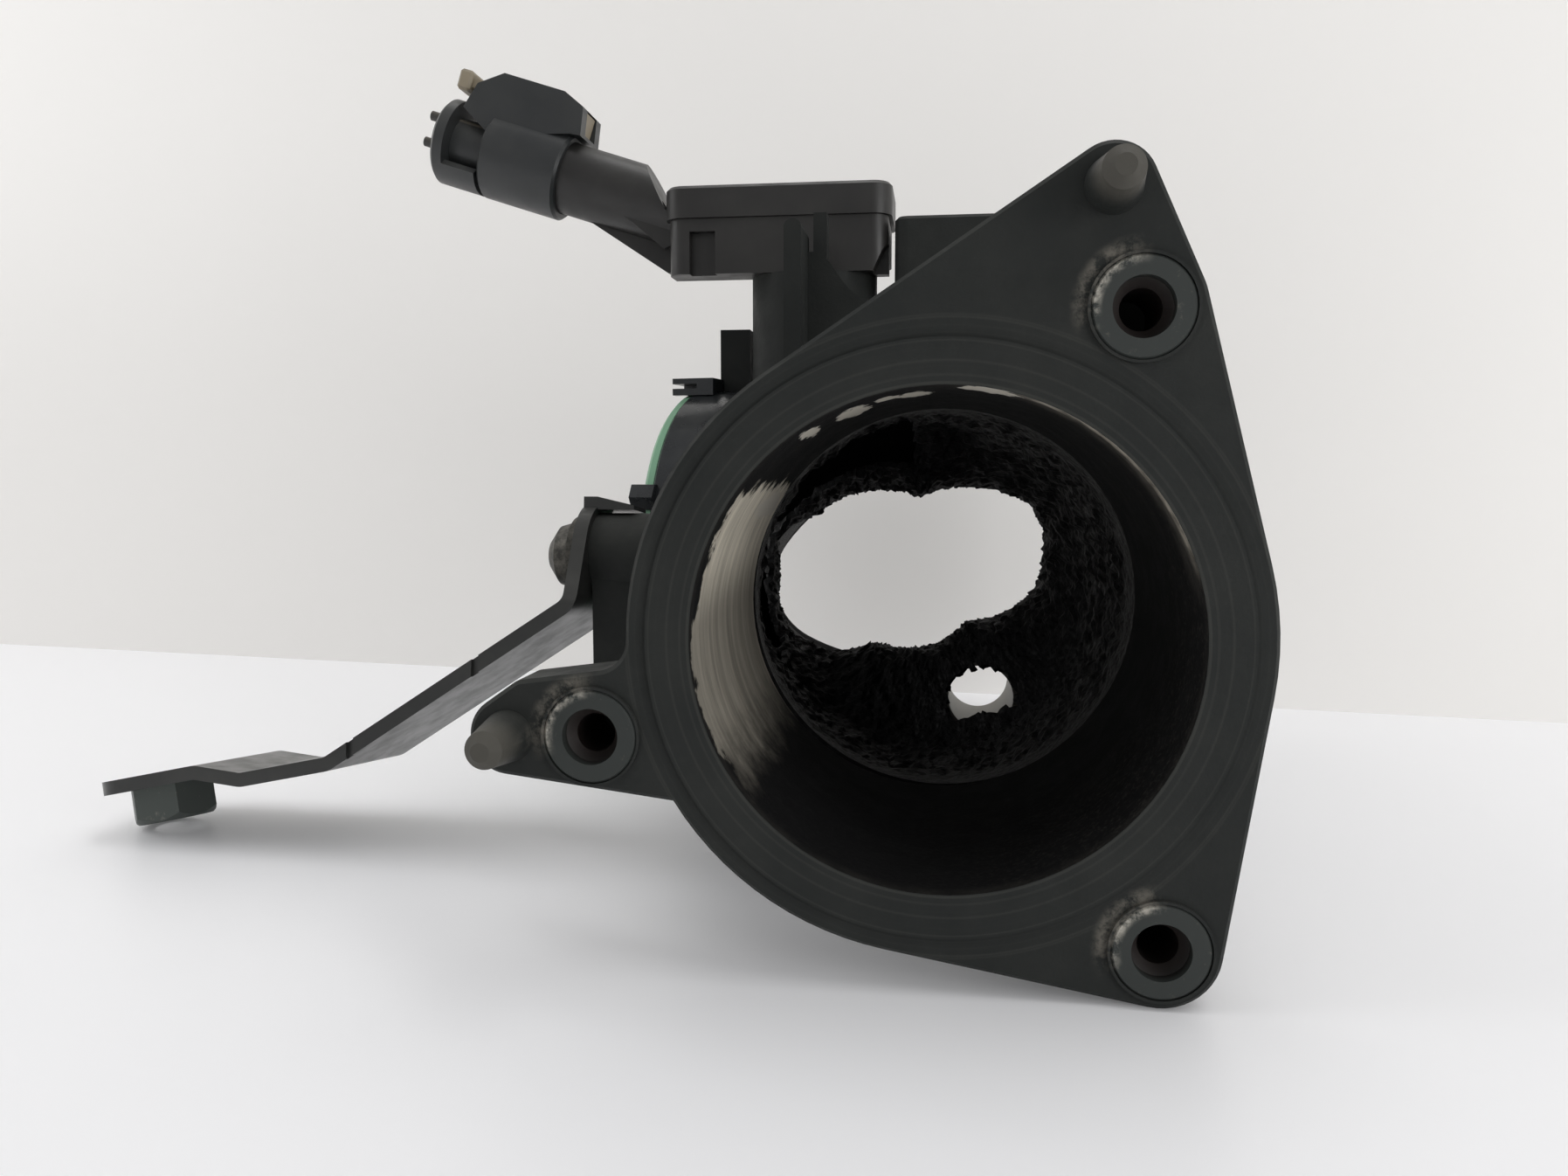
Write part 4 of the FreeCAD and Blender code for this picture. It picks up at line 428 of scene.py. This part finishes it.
def finished(name, bm, material, slot, *replaced):
    """Makes a piece of the body from a bmesh."""
    mesh = bpy.data.meshes.new(name)
    bm.to_mesh(mesh)
    bm.free()
    mesh.materials.append(material)
    piece = bpy.data.objects.new(name, mesh)
    bpy.context.scene.collection.objects.link(piece)
    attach(piece, "body")
    if replaced:
        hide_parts(*replaced)
    return piece


class PipeBodyFinish(bpy.types.Operator):
    """Gives the moulded pipe its nylon, with dust outside and soot in the bore"""
    bl_idname = "pipe.finish_body"
    bl_label = "Pipe body"

    def execute(self, context):
        put_on(pipe_material(context.scene.pipe_colours, context.scene.pipe_sizes), "pipe_body")
        return {"FINISHED"}


def seen_at(pixel, depth):
    """The point at this depth that the photograph shows at a pixel."""
    aside, down = (pixel[0] - PHOTO_W / 2) / FOCAL_PX, (pixel[1] - PHOTO_H / 2) / FOCAL_PX
    ray = CAMERA_RIGHT * aside - CAMERA_UP * down + CAMERA_AHEAD
    return CAMERA_AT + ray * ((depth - CAMERA_AT.y) / ray.y)


def pixel_of(point):
    """Where the photograph shows this point."""
    out = point - CAMERA_AT
    ahead = out.dot(CAMERA_AHEAD)
    return (PHOTO_W / 2 + FOCAL_PX * out.dot(CAMERA_RIGHT) / ahead,
            PHOTO_H / 2 - FOCAL_PX * out.dot(CAMERA_UP) / ahead)


def inside_outlet(point):
    """Keeps a point inside the outlet's oval wall."""
    out = point - OUTLET_AT
    along = out.x * math.cos(OUTLET_TURN) + out.z * math.sin(OUTLET_TURN)
    across = out.z * math.cos(OUTLET_TURN) - out.x * math.sin(OUTLET_TURN)
    over = math.hypot(along / OUTLET_ROOM[0], across / OUTLET_ROOM[1])
    if over <= 1:
        return point
    return Vector((OUTLET_AT.x + out.x / over, point.y, OUTLET_AT.z + out.z / over))


def window_corners():
    """Turn in degrees and reach of each corner of the window's edge, in the order of their turns."""
    corners = []
    for pixel in WINDOW_PIXELS.values():
        out = seen_at(pixel, WINDOW_AT.y) - WINDOW_AT
        corners.append((math.degrees(math.atan2(out.z, out.x)) % 360, min(out.length, WINDOW_MOST)))
    corners.sort()
    (first_turn, first_reach), (last_turn, last_reach) = corners[0], corners[-1]
    return [(last_turn - 360, last_reach)] + corners + [(first_turn + 360, first_reach)]


def window_reach(corners, turn):
    """How far the crust's window reaches from its middle at a turn in degrees."""
    for (turn_0, reach_0), (turn_1, reach_1) in zip(corners, corners[1:]):
        if turn_0 <= turn <= turn_1:
            return reach_0 + (reach_1 - reach_0) * (turn - turn_0) / (turn_1 - turn_0)
    raise ValueError("the window has no corner round this turn")


def eased(share):
    share = min(1.0, max(0.0, share))
    return share * share * (3 - 2 * share)


def crust_point(corners, depth, turn, lump):
    """A point of the crust's face: round in the chamber, closing in to the window, lumpy all over."""
    angle = math.radians(turn)
    outward = Vector((math.cos(angle), 0.0, math.sin(angle)))
    along = min(1.0, (depth - NECK_L) / (CHAMBER_END.y - NECK_L))
    centre = Vector((CHAMBER_END.x * along, depth, CHAMBER_END.z * along))
    swell = math.sin(min(1.0, (depth - NECK_L) / CHAMBER_SWELL_L) * math.pi / 2) ** 2
    radius = CHAMBER_MOUTH_R + (CHAMBER_R - CHAMBER_MOUTH_R) * swell
    closing = eased((depth - FUNNEL_START) / (FUNNEL_END - FUNNEL_START))
    # The window follows the camera's sight lines, so its edge shows where it does in the photograph
    sight = (depth - CAMERA_AT.y) / (WINDOW_AT.y - CAMERA_AT.y)
    middle = CAMERA_AT + (WINDOW_AT - CAMERA_AT) * sight
    window_edge = middle + outward * window_reach(corners, turn % 360) * sight
    point = (centre + outward * radius).lerp(window_edge, closing)
    big = noise.fractal(point / LUMP_SIZE, 1.0, 2.0, 3)
    small = noise.fractal(point / SCRAP_SIZE, 0.8, 2.1, 4)
    thick = eased((depth - NECK_L) / LUMP_RISE_L) * lump
    # Lumps make most of the height, and towards the window the scraps on them take over
    inward = 0.8 * big * (1 - 0.6 * closing) + (0.5 + 0.3 * closing) * small + 0.25
    point = point - outward * (thick * inward)
    return inside_outlet(point) if depth > FUNNEL_END else point


def crust_open(point):
    """Whether the crust leaves this point open: at the side port, the sensor's tip and the small port."""
    from_port = point - PORT_AT
    across_port = (from_port - PORT_AXIS * from_port.dot(PORT_AXIS)).length
    if across_port < PORT_R + PORT_ROOM and point.x < CHAMBER_END.x and point.y < PORT_OPEN_TO:
        return True
    if (Vector((point.x, point.y, 0.0)) - TIP_AT).length < TIP_ROOM_R and point.z > 0:
        return True
    if point.y < FUNNEL_START:
        return False
    seen, hole = pixel_of(point), pixel_of(SMALL_PORT)
    hole_px = FOCAL_PX * SMALL_PORT_R / (SMALL_PORT.y - CAMERA_AT.y)
    share = (seen[0] - SILL_LEFT[0]) / (SILL_RIGHT[0] - SILL_LEFT[0])
    sill = SILL_LEFT[1] + (SILL_RIGHT[1] - SILL_LEFT[1]) * share
    if math.dist(seen, hole) > hole_px or seen[1] > sill:
        return False
    near_top = eased((hole[1] - seen[1]) / hole_px - 0.35)
    return noise.noise(point / FLECK_SIZE) < 0.9 - 1.6 * near_top


class SootCrustMake(bpy.types.Operator):
    """Makes the lumpy soot crust that lines the chamber and leaves its ragged window"""
    bl_idname = "pipe.make_crust"
    bl_label = "Soot crust"

    def execute(self, context):
        sizes = context.scene.pipe_sizes
        bm = bmesh.new()
        rows = round((WINDOW_AT.y - NECK_L) / sizes.crust_cell)
        columns = round(2 * math.pi * CHAMBER_R / sizes.crust_cell)
        grid, corners_of_window = [], window_corners()
        turns = [360 * column / columns for column in range(columns)]
        for row in range(rows + 1):
            depth = NECK_L + (WINDOW_AT.y - NECK_L) * row / rows
            grid.append([bm.verts.new(crust_point(corners_of_window, depth, turn, sizes.crust_lump))
                         for turn in turns])
        for near, far in zip(grid, grid[1:]):
            for column in range(columns):
                after = (column + 1) % columns
                corners = (near[column], near[after], far[after], far[column])
                middle = sum((corner.co for corner in corners), Vector()) / 4
                if not crust_open(middle):
                    bm.faces.new(corners)
        bmesh.ops.delete(bm, geom=[vert for vert in bm.verts if not vert.link_faces], context="VERTS")
        bm.normal_update()
        face = bm.faces[:][0]
        face_centre = face.calc_center_median()
        axis_point = Vector((0.0, face_centre.y, 0.0))
        if face.normal.dot(axis_point - face_centre) < 0:
            bmesh.ops.reverse_faces(bm, faces=bm.faces)
        bmesh.ops.solidify(bm, geom=bm.faces[:], thickness=sizes.crust_t)
        bmesh.ops.recalc_face_normals(bm, faces=bm.faces)
        finished("crust_lumps", bm, soot_material(context.scene.pipe_colours), "soot", "soot_crust")
        return {"FINISHED"}


class CouplingFinish(bpy.types.Operator):
    """Gives the coupling's collar its gloss and its seal a soft green rubber"""
    bl_idname = "pipe.finish_coupling"
    bl_label = "Collar and seal"

    def execute(self, context):
        colours, grain = context.scene.pipe_colours, context.scene.pipe_sizes.grain
        collar = moulded("polished_nylon", colours.collar, colours.dust, 0.32, 4 * grain, 0.12, 0.25)[0]
        put_on(collar, "port_collar")
        put_on(moulded("silicone_rubber", colours.seal, colours.dust, 0.5, grain, 0.2)[0], "port_seal")
        return {"FINISHED"}


class SensorFinish(bpy.types.Operator):
    """Gives the pressure sensor its satin case and its small metal pieces"""
    bl_idname = "pipe.finish_sensor"
    bl_label = "Sensor"

    def execute(self, context):
        colours, grain = context.scene.pipe_colours, context.scene.pipe_sizes.grain
        case = moulded("satin_polyester", colours.sensor, colours.dust, 0.45, grain, 0.18)[0]
        put_on(case, "sensor_housing", "sensor_cover")
        put_on(metal("sensor_steel", colours.bare, colours.bare, 0.45, 0.4, 0.8)[0],
               "sensor_tip", "sensor_screw", "sensor_terminals", "sensor_post_insert", "boss_insert")
        put_on(moulded("nitrile_rubber", colours.soot, colours.dust, 0.6, grain, 0.1)[0],
               "sensor_o_ring", "plug_seal")
        return {"FINISHED"}


class PlugFinish(bpy.types.Operator):
    """Gives the cut-off plug its blue-grey housing, aged lock and wire stubs"""
    bl_idname = "pipe.finish_plug"
    bl_label = "Plug"

    def execute(self, context):
        colours, grain = context.scene.pipe_colours, context.scene.pipe_sizes.grain
        put_on(moulded("satin_polyamide", colours.plug, colours.dust, 0.4, grain, 0.22)[0],
               "plug_housing", "plug_rear_cap")
        put_on(moulded("aged_polyamide", colours.lock, colours.soot, 0.5, grain, 0.6)[0], "plug_lock")
        put_on(moulded("wire_insulation", colours.plug, colours.lock, 0.5, grain, 0.5)[0],
               *[f"wire_stub_{i}" for i in range(1, 5)])
        return {"FINISHED"}


class BracketFinish(bpy.types.Operator):
    """Gives the bracket its black paint, and its nut and screw their dull metal"""
    bl_idname = "pipe.finish_bracket"
    bl_label = "Bracket, nut and screw"

    def execute(self, context):
        colours, grain = context.scene.pipe_colours, context.scene.pipe_sizes.grain
        put_on(moulded("black_paint_on_steel", colours.paint, colours.dust, 0.38, 2 * grain, 0.25, 0.2)[0],
               "bracket")
        put_on(metal("dark_zinc", colours.nut, colours.bare, 0.5, 0.6, 0.8)[0], "weld_nut")
        put_on(metal("dull_zinc", colours.screw, colours.grit, 0.55, 0.4, 0.8, 0.5)[0], "bracket_screw")
        return {"FINISHED"}


class InsertFinish(bpy.types.Operator):
    """Gives the flange's inserts and sleeves dark metal with worn flakes"""
    bl_idname = "pipe.finish_inserts"
    bl_label = "Inserts and sleeves"

    def execute(self, context):
        colours = context.scene.pipe_colours
        blackened, tree, shader = metal("blackened_steel", colours.insert, colours.grit, 0.62,
                                        0.6, 0.8, 0.2)
        place = add_node(tree, "TexCoord").outputs["Object"]
        x, y, z = add_node(tree, "SeparateXYZ", {0: place}).outputs
        coated = shader.inputs["Base Color"].links[0].from_socket
        worn_seats = sums(tree, "MULTIPLY", seat_wear(tree, x, y, z, place), 0.9)
        worn = blend(tree, worn_seats, coated, colours.flake)
        down_hole = ramp(tree, y, 0.4 * MM, 2.5 * MM)
        tree.links.new(blend(tree, down_hole, worn, colours.rust), shader.inputs["Base Color"])
        put_on(blackened, "flange_insert_upper", "flange_insert_lower", "flange_insert_ear")
        put_on(metal("dull_steel", colours.bare, colours.dust, 0.5, 0.4, 0.8)[0],
               "egr_bush", *[f"outlet_sleeve_{i}" for i in range(1, 5)])
        return {"FINISHED"}


class StageSet(bpy.types.Operator):
    """Sets the floor, the wall, the lamps and the camera"""
    bl_idname = "pipe.set_stage"
    bl_label = "Stage"

    def execute(self, context):
        scene, colours, sizes = context.scene, context.scene.pipe_colours, context.scene.pipe_sizes
        floor_z = CAD_BOX[0][2]
        along = (WALL_RIGHT - WALL_LEFT).normalized()
        towards = Vector((along.y, -along.x, 0.0))
        for name, colour, glow, corners in (
            ("floor", colours.floor, FLOOR_GLOW, ((-1, 0), (1, 0), (1, 1), (-1, 1))),
            ("wall", colours.wall, WALL_GLOW, ((-1, 0), (1, 0), (1, None), (-1, None))),
        ):
            bm = bmesh.new()
            points = []
            for side, out in corners:
                point = WALL_LEFT + along * (side * STAGE_REACH)
                point.z = floor_z
                if out is None:
                    point.z += sizes.wall_h
                else:
                    point += towards * (out * STAGE_REACH)
                points.append(bm.verts.new(point))
            bm.faces.new(points)
            mesh = bpy.data.meshes.new(name)
            bm.to_mesh(mesh)
            bm.free()
            stage_piece = bpy.data.objects.new(name, mesh)
            scene.collection.objects.link(stage_piece)
            material, _, shader = new_material("painted_" + name)
            shader.inputs["Base Color"].default_value = colour
            shader.inputs["Roughness"].default_value = 0.4
            shader.inputs["Emission Color"].default_value = colour
            shader.inputs["Emission Strength"].default_value = glow
            mesh.materials.append(material)
        world = bpy.data.worlds.new("studio")
        world.use_nodes = True
        world.node_tree.nodes["Background"].inputs[0].default_value = linear("#ffffff")
        world.node_tree.nodes["Background"].inputs[1].default_value = WORLD_GLOW
        scene.world = world
        # A long lamp overhead, one on the left and a faint one low on the right that reaches into the bore
        for name, at, size, power in LAMPS:
            lamp = bpy.data.lights.new(name, "AREA")
            lamp.shape = "RECTANGLE"
            lamp.size, lamp.size_y = size
            lamp.energy = power
            holder = bpy.data.objects.new(name, lamp)
            holder.location = at
            holder.rotation_euler = (LAMP_AIM - at).to_track_quat("-Z", "Y").to_euler()
            scene.collection.objects.link(holder)
        camera = bpy.data.cameras.new("photo_camera")
        camera.sensor_fit = "HORIZONTAL"
        camera.lens = FOCAL_PX / PHOTO_W * camera.sensor_width
        camera.clip_start = 0.01
        eye = bpy.data.objects.new("photo_camera", camera)
        back = CAMERA_RIGHT.cross(CAMERA_UP)
        eye.matrix_world = Matrix((
            (CAMERA_RIGHT.x, CAMERA_UP.x, back.x, CAMERA_AT.x),
            (CAMERA_RIGHT.y, CAMERA_UP.y, back.y, CAMERA_AT.y),
            (CAMERA_RIGHT.z, CAMERA_UP.z, back.z, CAMERA_AT.z),
            (0.0, 0.0, 0.0, 1.0),
        ))
        scene.collection.objects.link(eye)
        scene.camera = eye
        scene.view_settings.view_transform = "Standard"
        return {"FINISHED"}


class PipePanel(bpy.types.Panel):
    """Lists the pipe's pieces in the sidebar"""
    bl_idname = "VIEW3D_PT_intake_pipe"
    bl_label = "Intake pipe"
    bl_space_type = "VIEW_3D"
    bl_region_type = "UI"
    bl_category = "Intake pipe"

    def draw(self, context):
        for group in (context.scene.pipe_colours, context.scene.pipe_sizes):
            for name in group.__annotations__:
                self.layout.prop(group, name)
        for operator in OPERATORS:
            self.layout.operator(operator.bl_idname)


GROUPS = (PipeColours, PipeSizes)
OPERATORS = (PipeBodyFinish, SootCrustMake, CouplingFinish, SensorFinish, PlugFinish, BracketFinish,
             InsertFinish, StageSet)


def register():
    for cls in GROUPS + OPERATORS + (PipePanel,):
        bpy.utils.register_class(cls)
    bpy.types.Scene.pipe_colours = PointerProperty(type=PipeColours)
    bpy.types.Scene.pipe_sizes = PointerProperty(type=PipeSizes)


def unregister():
    del bpy.types.Scene.pipe_sizes
    del bpy.types.Scene.pipe_colours
    for cls in reversed(GROUPS + OPERATORS + (PipePanel,)):
        bpy.utils.unregister_class(cls)


def main():
    register()
    for operator in OPERATORS:
        group, name = operator.bl_idname.split(".")
        getattr(getattr(bpy.ops, group), name)()


if __name__ == "__main__":
    main()
